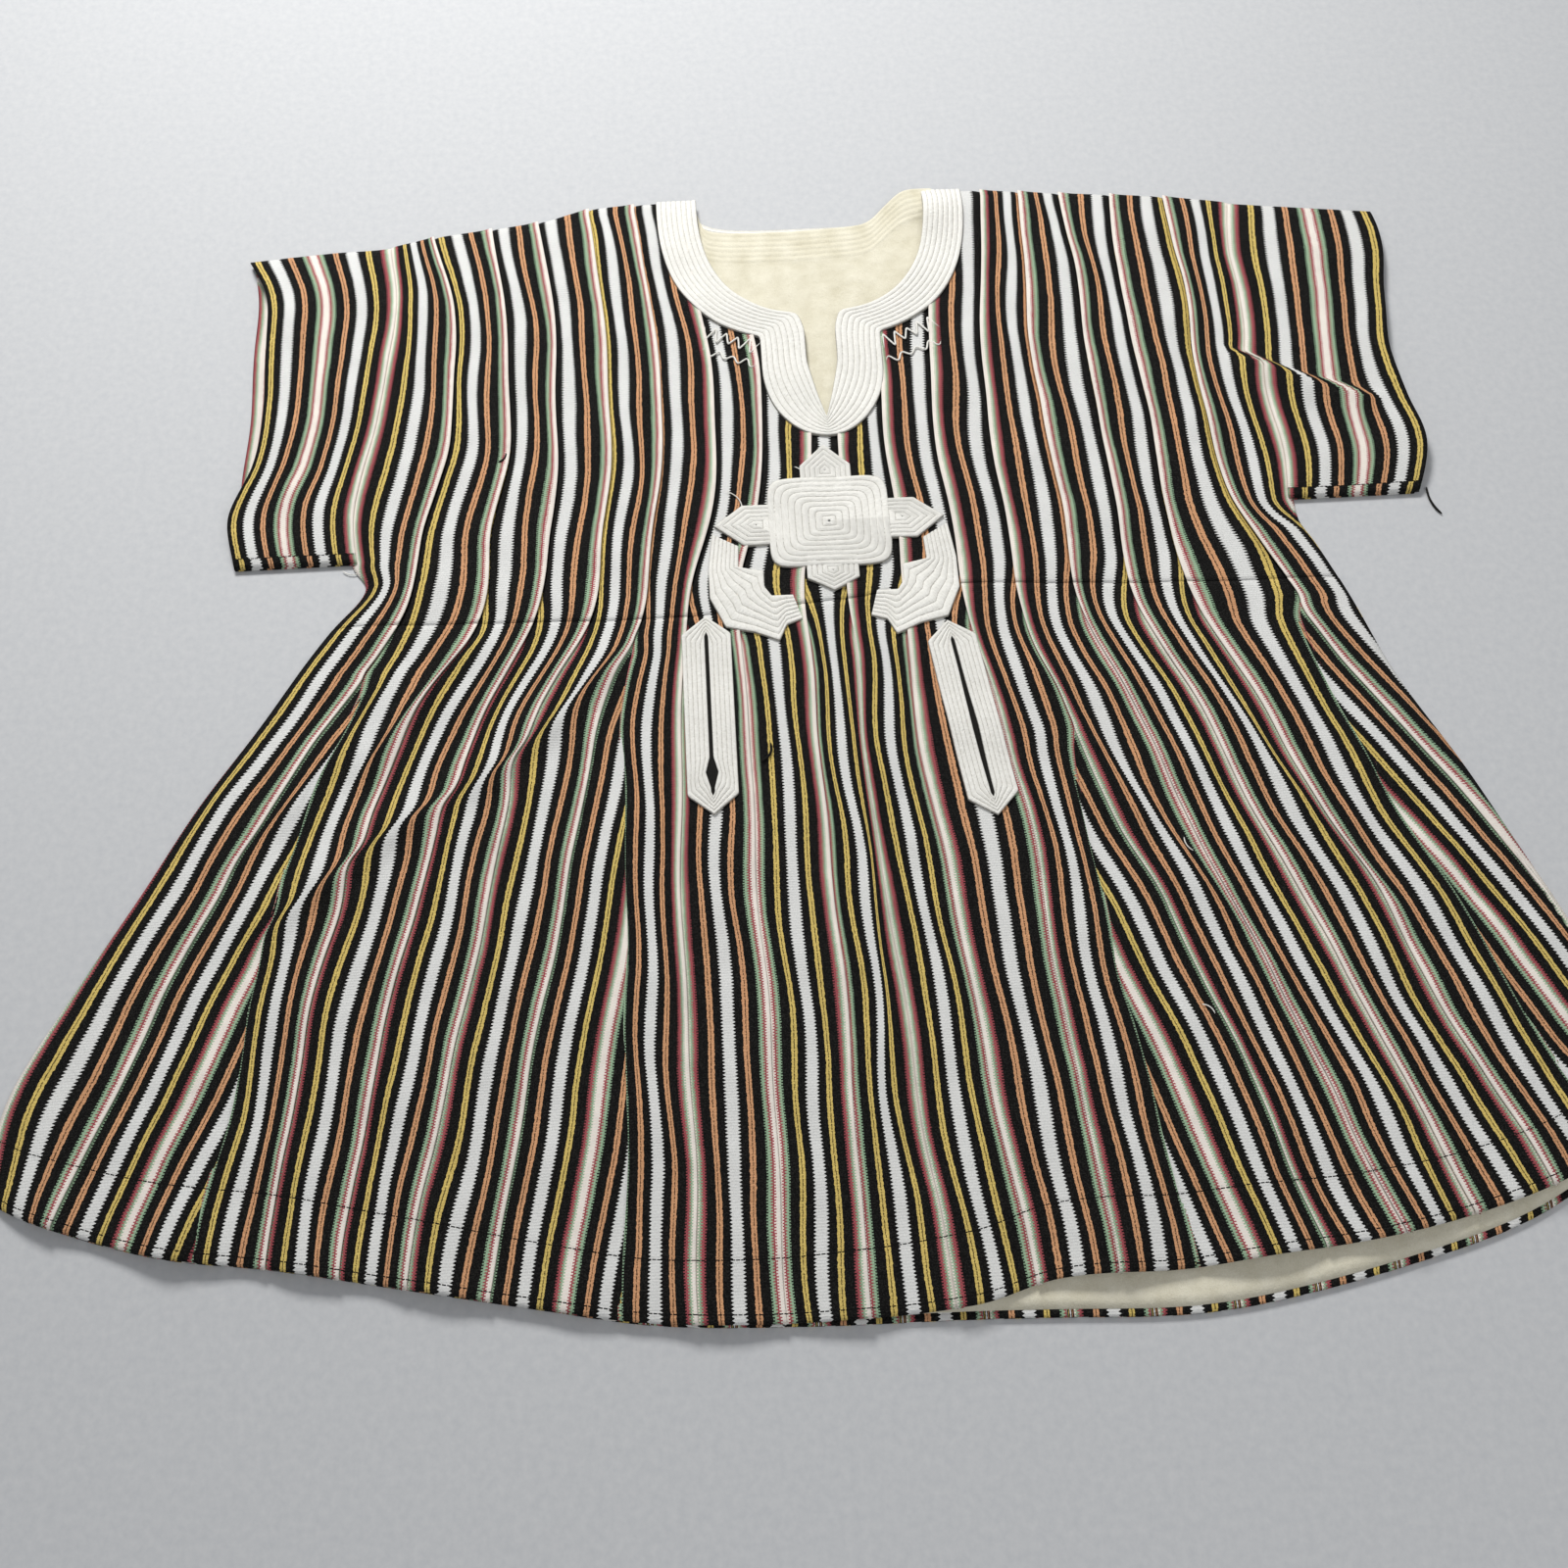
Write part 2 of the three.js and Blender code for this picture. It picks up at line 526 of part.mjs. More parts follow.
const drafted = new THREE.Group();

function sew(name, body, material) {
  const mesh = new THREE.Mesh(geometryOf(body), material);
  mesh.name = name;
  drafted.add(mesh);
  return mesh;
}

const allGores = (clearance) => GORES.map((gore) => goreSolid(gore, clearance))
  .reduce((sum, gore) => sum.add(gore));
const slits = WELTS.map(slitSolid).reduce((sum, slit) => sum.add(slit));

function sewFront() {
  const bodice = frontLayer(seamColumns, bodiceRows, bodicePlace, 0, CLOTH);
  const skirt = frontLayer(skirtColumns, skirtRows, skirtPlace('front'), 0, CLOTH);
  sew('front_bodice', bodice.subtract(prism(neckHole, 0, ABOVE)), cloth);
  sew('front_skirt', skirt.subtract(allGores(true)).subtract(slits), cloth);
  GORES.forEach((gore) => {
    sew(`front_gore_${gore.name}`, skirt.intersect(goreSolid(gore, false)), goreCloth);
  });
}

// Outline of a flat panel: down one side at the given rows, along the foot and up the other.
function panelOutline(place, rows) {
  const down = rows.map((v) => place(1, v));
  const foot = steps(32).map((t) => place(1 - t, 1)).slice(1, -1);
  const up = rows.map((v) => place(0, v)).reverse();
  const head = steps(32).map((t) => place(t, 0)).slice(1, -1);
  return [...down, ...foot, ...up, ...head].reverse();
}

// The back hem turned up over the lining, grown upwards by `grow`.
function backHemFold(grow) {
  const [first, last] = [leftAt(HEM_CORNER) + HEM_FOLD_END, rightAt(HEM_CORNER) - HEM_FOLD_END];
  const span = steps(32).map((t) => lerp(first - grow, last + grow, t));
  const edge = span.map((x) => [x, hemAt.back(x)]);
  const fold = span.map((x) => [x, hemAt.back(x) + HEM_FOLD + grow]).reverse();
  return prism([...edge, ...fold], CLOTH / 2, CLOTH + LINING);
}

function sewBack() {
  const bodice = prism(panelOutline(bodicePlace, bodiceRows), 0, CLOTH);
  const band = prism(backNeck(BACK_NECK.band), -1, ABOVE);
  const scoop = prism(backNeck(0), -1, ABOVE);
  const bandSeat = prism(backNeck(BACK_NECK.band + SEAM_GAP), -1, ABOVE);
  sew('back_bodice', bodice.subtract(bandSeat), cloth);
  sew('neck_band_back', bodice.intersect(band).subtract(scoop), thread);

  const place = skirtPlace('back');
  const skirt = prism(panelOutline(place, skirtRows), 0, CLOTH);
  const hemmed = skirt.add(backHemFold(0));
  sew('back_skirt', hemmed.subtract(allGores(true)), cloth);
  GORES.forEach((gore) => {
    sew(`back_gore_${gore.name}`, hemmed.intersect(goreSolid(gore, false)), goreCloth);
  });
}

// Grid of the lining, finest beside the collar's loop. `waist` is the row level with the waist.
const LINING_GRID = {
  columns: [0, 0.06, 0.15, 0.3, 0.45, 0.53, 0.56, 0.59, 0.62, 0.65, 0.68, 0.72, 0.85, 0.94, 1],
  rows: [0, 0.01, 0.02, 0.035, 0.06, 0.1, 0.2, 0.34, 0.45, 0.6, 0.75, 0.88, 0.95, 1],
  waist: 0.45,
};

// The lining covers the inside of the back, short of every closed edge, and lifts at the collar.
function sewLining() {
  const { columns, rows, waist } = LINING_GRID;
  const lift = (x, y) => {
    const { x: cx, y: cy, lining, spreadX, liningSpreadY } = COLLAR_LOOP;
    return lining * bell(x - cx, spreadX) * bell(y - cy, liningSpreadY);
  };
  const place = (u, v) => {
    const level = v < waist ? lerp(BODICE_TOP, WAIST_LEVEL, v / waist)
      : lerp(WAIST_LEVEL, HEM_CORNER, (v - waist) / (1 - waist));
    const [left, right] = [leftAt(level) + LINING_INSET, rightAt(level) - LINING_INSET];
    const x = lerp(left, right, u);
    const [top, foot] = [shoulderAt(x) - LINING_INSET, hemAt.back(x) + HEM_FOLD - SEAM_OVERLAP];
    return [x, lerp(top, foot, v)];
  };
  const pointAt = (offset) => (u, v) => {
    const [x, y] = place(u, v);
    return new THREE.Vector3(x, y, CLOTH + SEAM_GAP + lift(x, y) + offset);
  };
  const sheet = solid(wall(columns, rows, pointAt(LINING), pointAt(0)));
  const cut = prism(backNeck(1), -1, ABOVE).add(backHemFold(SEAM_GAP));
  sew('back_lining', sheet.subtract(cut), liningCloth);
}

// A sleeve is one strip folded round into a flattened tube, open at the armhole and the cuff.
function sewSleeve(side) {
  const hand = side === 'left' ? -1 : 1;
  const armhole = side === 'left' ? leftAt : rightAt;
  const cuffs = { top: cuffAt(side, 'Front'), bottom: cuffAt(side, 'Back') };
  const lower = UNDERARM[side];
  const place = (s, along, layer) => {
    const armholeY = lerp(lower, SLEEVE_TOP, along);
    const start = armhole(armholeY) - hand * SEAM_OVERLAP;
    const x = lerp(start, cuffs[layer](along), s);
    return [x, lower, shoulderAt(x)];
  };
  const ring = (s, inset, bottomZ, topZ) => {
    const bottom = steps(5).map((t) => {
      const [x, low, high] = place(s, t, 'bottom');
      return new THREE.Vector3(x, lerp(low + inset, high - inset, t), bottomZ);
    });
    const top = steps(17).map((t) => {
      const [x, low, high] = place(s, 1 - t, 'top');
      const y = lerp(high - inset, low + inset, t);
      return new THREE.Vector3(x, y, frontUnderside(x, y) + topZ);
    });
    return [...bottom, ...top];
  };
  const stations = [0, 0.14, 0.28, 0.43, 0.58, 0.73, 0.87, 1];
  const tube = tubeWall(stations, (s) => ring(s, 0, 0, CLOTH), (s) => ring(s, CLOTH, CLOTH, 0));
  const body = panelOutline(bodicePlace, bodiceRows).map(([x, y]) => [x + hand * SEAM_GAP, y]);
  sew(`${side}_sleeve`, solid(tube).subtract(prism(body, -1, ABOVE)), cloth);
}

// Embroidery lies on the front, made from the front's own points moved out.
function sewEmbroidery() {
  const [low, high] = [CLOTH + SEAM_GAP, CLOTH + SEAM_GAP + EMBROIDERY];
  const overBodice = frontLayer(seamColumns, bodiceRows, bodicePlace, low, high);
  const joined = (u, v) => {
    const [x, y] = skirtPlace('front')(u, v);
    return v === 0 ? [x, y + SEAM_OVERLAP] : [x, y];
  };
  const overSkirt = frontLayer(skirtColumns, skirtRows.slice(0, 8), joined, low, high);
  const overBoth = overBodice.add(overSkirt);
  sew('neck_band', overBodice.intersect(prism(bandOutline, 0, ABOVE)), thread);

  const cross = crossSolid();
  sew('chest_cross', overBodice.intersect(cross), thread);
  [['left', -1], ['right', 1]].forEach(([side, hand]) => {
    const hook = prism(hookOutline(hand), 0, ABOVE);
    sew(`chest_hook_${side}`, overBoth.intersect(hook).subtract(cross), thread);
  });
  WELTS.forEach((welt) => {
    const outline = turned(weltOutline(), welt.lean, welt.x, welt.y);
    const body = overSkirt.intersect(prism(outline, 0, ABOVE)).subtract(slitSolid(welt));
    sew(`pocket_welt_${welt.name}`, body, thread);
  });
}

sewBack();
sewLining();
sewSleeve('left');
sewSleeve('right');
sewFront();
sewEmbroidery();

// The part's origin is on the floor, below the middle of the smock's bounding box.
const bounds = new THREE.Box3().setFromObject(drafted);
const middle = bounds.getCenter(new THREE.Vector3());
drafted.position.set(-middle.x, -middle.y, -bounds.min.z);

const smock = new THREE.Group();
smock.add(drafted);
smock.updateMatrixWorld(true);

export default smock;
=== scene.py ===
# %% [markdown]
# # A batakari smock, laid flat
#
# A batakari (also called fugu) is sewn from narrow hand-loomed strips. The bodice is tucked at every half
# strip, the skirt is let out below the waist and widened with gores, and the neck, chest and pockets carry
# thick white machine embroidery. Here it lies on its back with the front panel up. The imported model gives
# the size and place of every piece, and each lesson below dresses one of them.

# %% Load the frame
import math

import bpy
import numpy as np
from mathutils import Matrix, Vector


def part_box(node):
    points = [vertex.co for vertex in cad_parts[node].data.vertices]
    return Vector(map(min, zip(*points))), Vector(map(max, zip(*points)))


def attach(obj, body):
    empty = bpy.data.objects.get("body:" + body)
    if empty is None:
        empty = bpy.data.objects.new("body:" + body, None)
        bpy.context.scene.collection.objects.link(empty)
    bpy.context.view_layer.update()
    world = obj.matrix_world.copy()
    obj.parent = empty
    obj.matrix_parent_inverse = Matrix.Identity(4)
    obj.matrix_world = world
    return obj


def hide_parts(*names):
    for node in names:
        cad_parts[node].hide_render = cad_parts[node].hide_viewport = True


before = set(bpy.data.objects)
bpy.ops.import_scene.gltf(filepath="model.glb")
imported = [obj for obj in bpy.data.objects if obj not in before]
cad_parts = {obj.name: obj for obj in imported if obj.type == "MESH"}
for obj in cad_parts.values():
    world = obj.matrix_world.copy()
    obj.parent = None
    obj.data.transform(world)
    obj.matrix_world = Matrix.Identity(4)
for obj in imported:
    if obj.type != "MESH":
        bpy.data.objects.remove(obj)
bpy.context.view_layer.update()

# %% [markdown]
# ## Where the drafting lies in the frame
#
# The smock is drafted in millimetres, with zero on the centre line of the neck and 480 mm below the top of
# the shoulders. The chest cross is symmetric, so the middle of its box says how far the drafting was moved
# when the part was centred on the floor.

# %% Drafting to frame
MM = 0.001
CROSS_MIDDLE = (-6.0, 158.5)
_low, _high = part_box("chest_cross")
SHIFT = [(_low[i] + _high[i]) / 2 / MM - CROSS_MIDDLE[i] for i in (0, 1)]


def to_frame(x, y, z):
    """Drafting millimetres to metres in the frame: the point plus the shift, times 0.001."""
    return np.stack([(x + SHIFT[0]) * MM, (y + SHIFT[1]) * MM, z * MM], axis=-1)


def uv_pair(a, b):
    """Two coordinates in millimetres as one UV pair in metres for each point."""
    return np.stack(np.broadcast_arrays(a, b), axis=-1) * MM


def as_rows(columns, rows):
    """A table with named columns as one dictionary for each row."""
    return [dict(zip(columns, row)) for row in rows]


print("shift of the drafting in mm:", [round(s, 2) for s in SHIFT])

# %% [markdown]
# ## The outline
#
# The outline is a handful of measured stations: the shoulder line, the two sides, the waist seam, the hems
# and the cuffs. A smooth curve is run through each table, so a few numbers give a soft edge.

# %% Outline tables
CLOTH = 2.0
SEAM_GAP = 0.3
LINING = 1.0
SHOULDER_LEVEL = 480.0
BODICE_TOP = 466.0
SLEEVE_TOP = 454.0
WAIST_LEVEL = 84.0
HEM_CORNER = -325.0
UNDERARM = {"left": 141.0, "right": 157.0}

SHOULDER = {
    "x": [-474, -405, -356, -315, -267, -226, -191, -135, 0, 135, 218, 298, 361, 474],
    "y": [439, 445, 447, 455, 461, 467, 477, 480, 481, 479, 471, 463, 453, 438],
}
BODY_SIDE = {
    "y": [-325, -250, -170, -85, 0, 85, 118, 140, 200, 300, 390, 460],
    "left": [-590, -577, -534, -489, -438, -383, -360, -370, -371, -356, -349, -354],
    "right": [531, 503, 474, 440, 406, 375, 364, 356, 358, 348, 348, 358],
}
WAIST = {
    "x": [-390, -224, -127, 0, 76, 181, 286, 378],
    "y": [85, 79, 77, 86, 94, 89, 84, 85],
}
HEM = {
    "x": [-590, -560, -480, -400, -310, -235, -155, -60, 45, 100, 180, 240, 330, 410, 470, 531],
    "front": [-325, -340, -366, -379, -397, -412, -426, -431, -427, -414, -413, -408, -399, -381, -358, -325],
    "back": [-325, -340, -366, -379, -397, -412, -427, -433, -435, -437, -440, -435, -418, -396, -366, -325],
}
CUFF = {
    "along": [0, 0.15, 0.3, 0.5, 0.7, 0.85, 1],
    "left_front": [-464, -471, -456, -451, -450, -454, -473],
    "left_back": [-464, -464, -465, -463, -462, -463, -470],
    "right_front": [457, 469, 466, 462, 470, 477, 474],
    "right_back": [454, 456, 458, 458, 464, 472, 474],
}


def curve(table, source, value):
    """A smooth curve through a table: cubic between stations, its slope at a station the chord between
    the neighbours, and level beyond the ends."""
    at = np.array(table[source], float)
    height = np.array(table[value], float)
    last = len(at) - 1
    before = np.maximum(np.arange(last + 1) - 1, 0)
    after = np.minimum(np.arange(last + 1) + 1, last)
    slope = (height[after] - height[before]) / (at[after] - at[before])

    def value_at(wanted):
        place = np.clip(np.asarray(wanted, float), at[0], at[last])
        i = np.clip(np.searchsorted(at, place, side="right") - 1, 0, last - 1)
        span = at[i + 1] - at[i]
        t = (place - at[i]) / span
        return ((2 * t ** 3 - 3 * t ** 2 + 1) * height[i] + (t ** 3 - 2 * t ** 2 + t) * span * slope[i]
                + (3 * t ** 2 - 2 * t ** 3) * height[i + 1] + (t ** 3 - t ** 2) * span * slope[i + 1])

    return value_at


shoulder_at = curve(SHOULDER, "x", "y")
left_at = curve(BODY_SIDE, "y", "left")
right_at = curve(BODY_SIDE, "y", "right")
waist_at = curve(WAIST, "x", "y")
hem_at = {"front": curve(HEM, "x", "front"), "back": curve(HEM, "x", "back")}
cuff_at = {name: curve(CUFF, "along", name) for name in CUFF if name != "along"}
print("outline: hem", right_at(HEM_CORNER) - left_at(HEM_CORNER), "mm wide")

# %% [markdown]
# ## The lie of the front cloth
#
# The front panel stands a few millimetres off the back, comes down to it at every closed edge, and carries
# the creases, the hem's flutes and the collar's loop. Heights are added up as bells: a bell is
# exp(-(distance / spread)^2), the simplest soft hump there is.

# %% Height of the front
LOFT = 3.4
EDGE_ROLL = 18.0
CREASE_END = 0.25

# Creases from (x0, y0) to (x1, y1), bowed in the middle. `up` and `down` are the widths of the two
# flanks, `pull` is how far the stripes are drawn together over the crease, and `slip` how far the cloth
# on one side has slid along it.
CREASES = as_rows(("x0", "y0", "x1", "y1", "bow", "up", "down", "height", "pull", "slip"), (
    (-150, 78, -300, -70, -10, 26, 11, 5.5, 8, 0),
    (-270, -44, -440, -175, 8, 24, 11, 5.5, 8, 0),
    (-320, 74, -462, -120, -8, 18, 12, 3.5, 5, 0),
    (-262, 82, -372, -60, 6, 15, 10, 3.5, 6, 0),
    (118, 80, 300, -250, 10, 22, 12, 5, 5, 0),
    (235, 80, 392, -215, 8, 18, 10, 4, 5, 0),
    (4, 50, -2, -330, -4, 16, 16, 4.5, 6, 0),
    (-172, -60, -172, -250, 3, 14, 18, 3, 0, 0),
    (318, 306, 455, 240, 6, 16, 4.5, 5.5, 0, 8),
    (-330, 420, -352, 190, 8, 14, 14, 2.5, 0, 0),
    (-425, 425, -420, 170, 12, 13, 13, 2.5, 0, 0),
    (-235, 440, -290, 150, 6, 16, 16, 2, 0, 0),
    (240, 430, 300, 150, -8, 18, 16, 2.2, 0, 0),
    (410, 420, 425, 290, 5, 13, 13, 2.5, 0, 0),
))
FLUTES = as_rows(("across", "width", "height", "reach"), (
    (0.035, 22, 4, 150), (0.11, 26, 6, 210), (0.185, 24, 4, 150), (0.265, 30, 5, 240),
    (0.345, 24, 3, 150), (0.42, 26, 4.5, 220), (0.495, 24, 3, 140), (0.565, 26, 5, 200),
    (0.65, 34, 8, 200), (0.735, 36, 9, 260), (0.82, 34, 9, 220), (0.9, 28, 6, 190), (0.965, 20, 4, 130),
))
RIPPLES = as_rows(("length", "turn", "height", "start"), (
    (66, 14, 0.45, 0.4), (49, 71, 0.35, 2.0), (88, 122, 0.5, 4.1), (37, 158, 0.2, 1.2),
))
RIPPLE_BEND = {"length": 71, "swing": 1.4}
SWAYS = as_rows(("height", "along", "across"), ((0.9, 21, 90), (1.1, 43, -55)))
GATHER = {"width": 0.75, "break": 2, "reach": 22}
LOOP = {"x": 106, "y": 462, "rise": 11, "spread": 26, "lining": 6, "lining_spread": 16}
GAPE = {"x": 466, "depth": 34, "left_y": 385, "right_y": 215, "spread": 105, "rise": 4.5}


def lerp(a, b, t):
    return a + (b - a) * t


def bell(distance, spread):
    """exp(-(distance / spread)^2): 1 on the line, fading to nothing at about twice the spread."""
    return np.exp(-(distance / spread) ** 2)


def smoothstep(value, low, high):
    """0 below low, 1 above high, and 3t^2 - 2t^3 between them."""
    t = np.clip((value - low) / (high - low), 0, 1)
    return t * t * (3 - 2 * t)


def crease_place(crease, x, y):
    """Where a point lies beside a crease: its share along the crease, its distance aside, and a weight
    that dies away at both ends."""
    run = np.array([crease["x1"] - crease["x0"], crease["y1"] - crease["y0"]], float)
    length = np.hypot(*run)
    dx, dy = x - crease["x0"], y - crease["y0"]
    t = (dx * run[0] + dy * run[1]) / length ** 2
    aside = (dx * run[1] - dy * run[0]) / length - crease["bow"] * 4 * t * (1 - t)
    ends = smoothstep(t, 0, CREASE_END) * smoothstep(1 - t, 0, CREASE_END)
    return run / length, aside, ends


def crease_height(x, y):
    """Sum over the creases of height x ends x bell(aside, width of that flank)."""
    total = np.zeros(np.shape(x))
    for crease in CREASES:
        _, aside, ends = crease_place(crease, x, y)
        width = np.where(aside > 0, crease["up"], crease["down"])
        total += crease["height"] * ends * bell(aside, width)
    return total


def flute_height(x, y):
    """Sum over the flutes of height x bell(x - its line) x a fade from the hem upwards."""
    left, right = left_at(y), right_at(y)
    above_hem = y - hem_at["front"](x)
    return sum(f["height"] * bell(x - lerp(left, right, f["across"]), f["width"])
               * (1 - smoothstep(above_hem, 0, f["reach"])) for f in FLUTES)


def ripple_height(x, y):
    """Limp cloth never lies quite flat: a sum of slow waves, each height x sin(2 pi x its way / length +
    start), bent a little by a wave along the other direction."""
    total = 0.0
    for ripple in RIPPLES:
        turn = math.radians(ripple["turn"])
        way = x * math.cos(turn) + y * math.sin(turn)
        aside = y * math.cos(turn) - x * math.sin(turn)
        bend = RIPPLE_BEND["swing"] * np.sin(aside / RIPPLE_BEND["length"] + ripple["start"])
        total = total + ripple["height"] * np.sin(2 * math.pi * way / ripple["length"] + bend)
    return total


def edge_distance(x, y):
    """Distance to the nearest closed edge: the shoulder fold, the side seam or the underarm corner."""
    underarm = np.where(x < 0, UNDERARM["left"], UNDERARM["right"])
    level = np.minimum(y, underarm)
    inside = np.where(x < 0, x - left_at(level), right_at(level) - x)
    above = y - underarm
    beyond = np.where(inside <= 0, above, np.hypot(inside, above))
    from_side = np.where(above <= 0, inside, beyond)
    return np.maximum(np.minimum(shoulder_at(x) - y, from_side), 0)


def front_underside(x, y):
    """Height of the front cloth's underside: the back's thickness and a gap, plus loft, creases,
    flutes, ripples, collar loop and cuff gape, all pressed down near an edge by
    1 - exp(-distance / roll)."""
    loop = LOOP["rise"] * bell(x - LOOP["x"], LOOP["spread"]) * bell(y - LOOP["y"], LOOP["spread"])
    gape = GAPE["rise"] * (
        bell(x + GAPE["x"], GAPE["depth"]) * bell(y - GAPE["left_y"], GAPE["spread"])
        + bell(x - GAPE["x"], GAPE["depth"]) * bell(y - GAPE["right_y"], GAPE["spread"]))
    stand = LOFT + crease_height(x, y) + flute_height(x, y) + ripple_height(x, y) + loop + gape
    return CLOTH + SEAM_GAP + stand * (1 - np.exp(-edge_distance(x, y) / EDGE_ROLL))


def drawn_together(x, y):
    """Cloth is drawn in over a crease: each point moves towards the crease line by
    pull x (aside / width) x bell(aside, width), which narrows the stripes there, and slides along it
    by slip x tanh(aside / break) x exp(-|aside| / reach), which breaks them. Two slow waves let
    neighbouring stripes sway together."""
    for crease in CREASES:
        if crease["pull"] or crease["slip"]:
            run, aside, ends = crease_place(crease, x, y)
            width = GATHER["width"] * (crease["up"] + crease["down"]) / 2
            move = -crease["pull"] * ends * (aside / width) * bell(aside, width)
            fade = np.exp(-np.abs(aside) / GATHER["reach"])
            slide = crease["slip"] * ends * np.tanh(aside / GATHER["break"]) * fade
            x, y = x + move * run[1] + slide * run[0], y - move * run[0] + slide * run[1]
    sway = sum(wave["height"] * np.sin(y / wave["along"] + x / wave["across"]) for wave in SWAYS)
    return x + sway, y


print("front stands", round(float(front_underside(0.0, 300.0)), 2), "mm at the chest")

# %% [markdown]
# ## The loom strips
#
# The garment is a row of half strips. Each one runs from one crest, where two warp colours meet a white
# edge, to the next. In the bodice a strip is folded over its neighbour, so part of it is hidden: in the
# left half its right edge lies on top, and in the right half its left edge. Below the waist the tucks are
# let out. One table holds where the seams lie at ten levels.

# %% Seams and half strips
STRIP = 53.4
SEAM_LEVELS = [470, 375, 250, 165, 84, -10, -100, -200, -350, -450]
SEAMS = [
    [-322, -302, -300, -319, -337, -396, -441, -482, -545, -586],
    [-272, -260, -252, -267, -277, -327, -357, -384, -401, -412],
    [-234, -219, -216, -221, -234, -276, -305, -331, -352, -365],
    [-191, -178, -174, -181, -190, -238, -259, -278, -306, -324],
    [-152, -138, -133, -142, -151, -188, -205, -224, -252, -271],
    [-112, -98, -91, -97, -118, -127, -130, -130, -129, -129],
    [-70, -60, -53, -62, -80, -78, -77, -76, -74, -73],
    [-24, -18, -13, -20, -30, -27, -25, -23, -21, -20],
    [6, 8, 9, 7, 4, 8, 12, 18, 28, 36],
    [46, 46, 45, 46, 46, 47, 54, 64, 79, 89],
    [92, 92, 85, 87, 92, 108, 119, 125, 134, 140],
    [146, 136, 128, 130, 134, 152, 178, 217, 259, 288],
    [178, 174, 170, 176, 178, 205, 233, 264, 311, 342],
    [213, 217, 214, 219, 220, 251, 281, 314, 362, 395],
    [257, 252, 255, 258, 262, 297, 330, 365, 419, 455],
    [302, 304, 300, 309, 338, 382, 435, 483, 560, 610],
]

# Each half strip: the outermost colour of the crest at its left and right end, its left and right
# accent thread, and how much of it is hidden at each end in the bodice and in the skirt.
HALF_STRIPS = as_rows(("left_crest", "right_crest", "left_thread", "right_thread",
                       "tuck_left", "tuck_right", "lap_left", "lap_right"), (
    ("red", "green", "yellow", "orange", 0, 0, 1.4, 0),
    ("green", "green", "yellow", "orange", 10, 0, 3.4, 0),
    ("red", "green", "yellow", "orange", 17, 0, 3.4, 0),
    ("red", "green", "yellow", "orange", 18, 0, 3.4, 0),
    ("red", "green", "yellow", "orange", 13.5, 0, 1.4, 0),
    ("green", "red", "orange", "orange", 15.5, 0, 3.4, 0),
    ("red", "green", "orange", "orange", 17.6, 0, 1, 0),
    ("green", "red", "yellow", "yellow", 17.6, 0, 0, 0),
    ("green", "red", "yellow", "yellow", 17.6, 17.6, 1.4, 0),
    ("red", "green", "yellow", "yellow", 0, 17.6, 2, 1.4),
    ("red", "green", "orange", "orange", 0, 18.5, 0, 1.4),
    ("red", "green", "orange", "orange", 0, 17.6, 2, 3.4),
    ("red", "green", "orange", "orange", 0, 14.5, 2, 0),
    ("green", "red", "orange", "yellow", 0, 17.6, 2, 0),
    ("green", "red", "orange", "yellow", 0, 17.6, 0, 1.4),
    ("green", "green", "orange", "yellow", 0, 13.5, 0, 3.4),
    ("green", "red", "orange", "yellow", 0, 0, 0, 0),
))
LET_OUT = (46.0, 116.0)  # the tucks open between these levels
MIDDLE_STRIP = 8

# How much of the outermost half strip on the left the side seam cuts off at a level.
LEFT_CUT = {"y": [-325, -230, -140, -60, 116, 141], "cut": [1.5, 4.5, 8.5, 10.5, 10.5, 0]}

# Gores: each is a wedge of strip cloth between a crest and a cut seam. A row of edges is a level and the
# gore's left and right edge there.
GORES = {
    "outer_left": {"beside": 1, "crest": "left", "edges": (
        (40, -360, -358), (-10, -395, -379), (-150, -465, -419), (-330, -539, -446), (-500, -607, -480))},
    "inner_left": {"beside": 5, "crest": "left", "edges": (
        (58, -158, -156), (-20, -190, -172), (-170, -218, -171), (-360, -254, -178), (-500, -280, -183))},
    "inner_right": {"beside": 11, "crest": "right", "edges": (
        (-35, 156, 158), (-110, 161, 182), (-170, 167, 208), (-367, 187, 264), (-500, 199, 302))},
    "outer_right": {"beside": 15, "crest": "right", "edges": (
        (62, 339, 341), (17, 350, 366), (-108, 387, 439), (-177, 414, 477), (-345, 472, 560),
        (-500, 525, 637))},
}


def seam_at(index):
    """The x of a strip seam at any level. Seams 0 and 17 are the sides of the smock."""
    if index == 0:
        return left_at
    if index == len(HALF_STRIPS):
        return right_at
    table = {"y": SEAM_LEVELS[::-1], "x": SEAMS[index - 1][::-1]}
    return curve(table, "y", "x")


def gore_edges(name):
    """The two edges of a gore as smooth curves through its stations, given as functions of the level."""
    y, left, right = np.array(GORES[name]["edges"], float)[::-1].T
    table = {"y": y, "left": left, "right": right}
    return curve(table, "y", "left"), curve(table, "y", "right")


TIP_BLEND = 14.0  # a strip's edge turns to a gore's over this distance above and below the tip


def turn_to(edge, gore_edge, tip):
    """A strip's edge that leaves its seam at the tip of a gore and follows the gore below it."""
    return lambda y: lerp(edge(y), gore_edge(y), smoothstep(tip - y, -TIP_BLEND, TIP_BLEND))


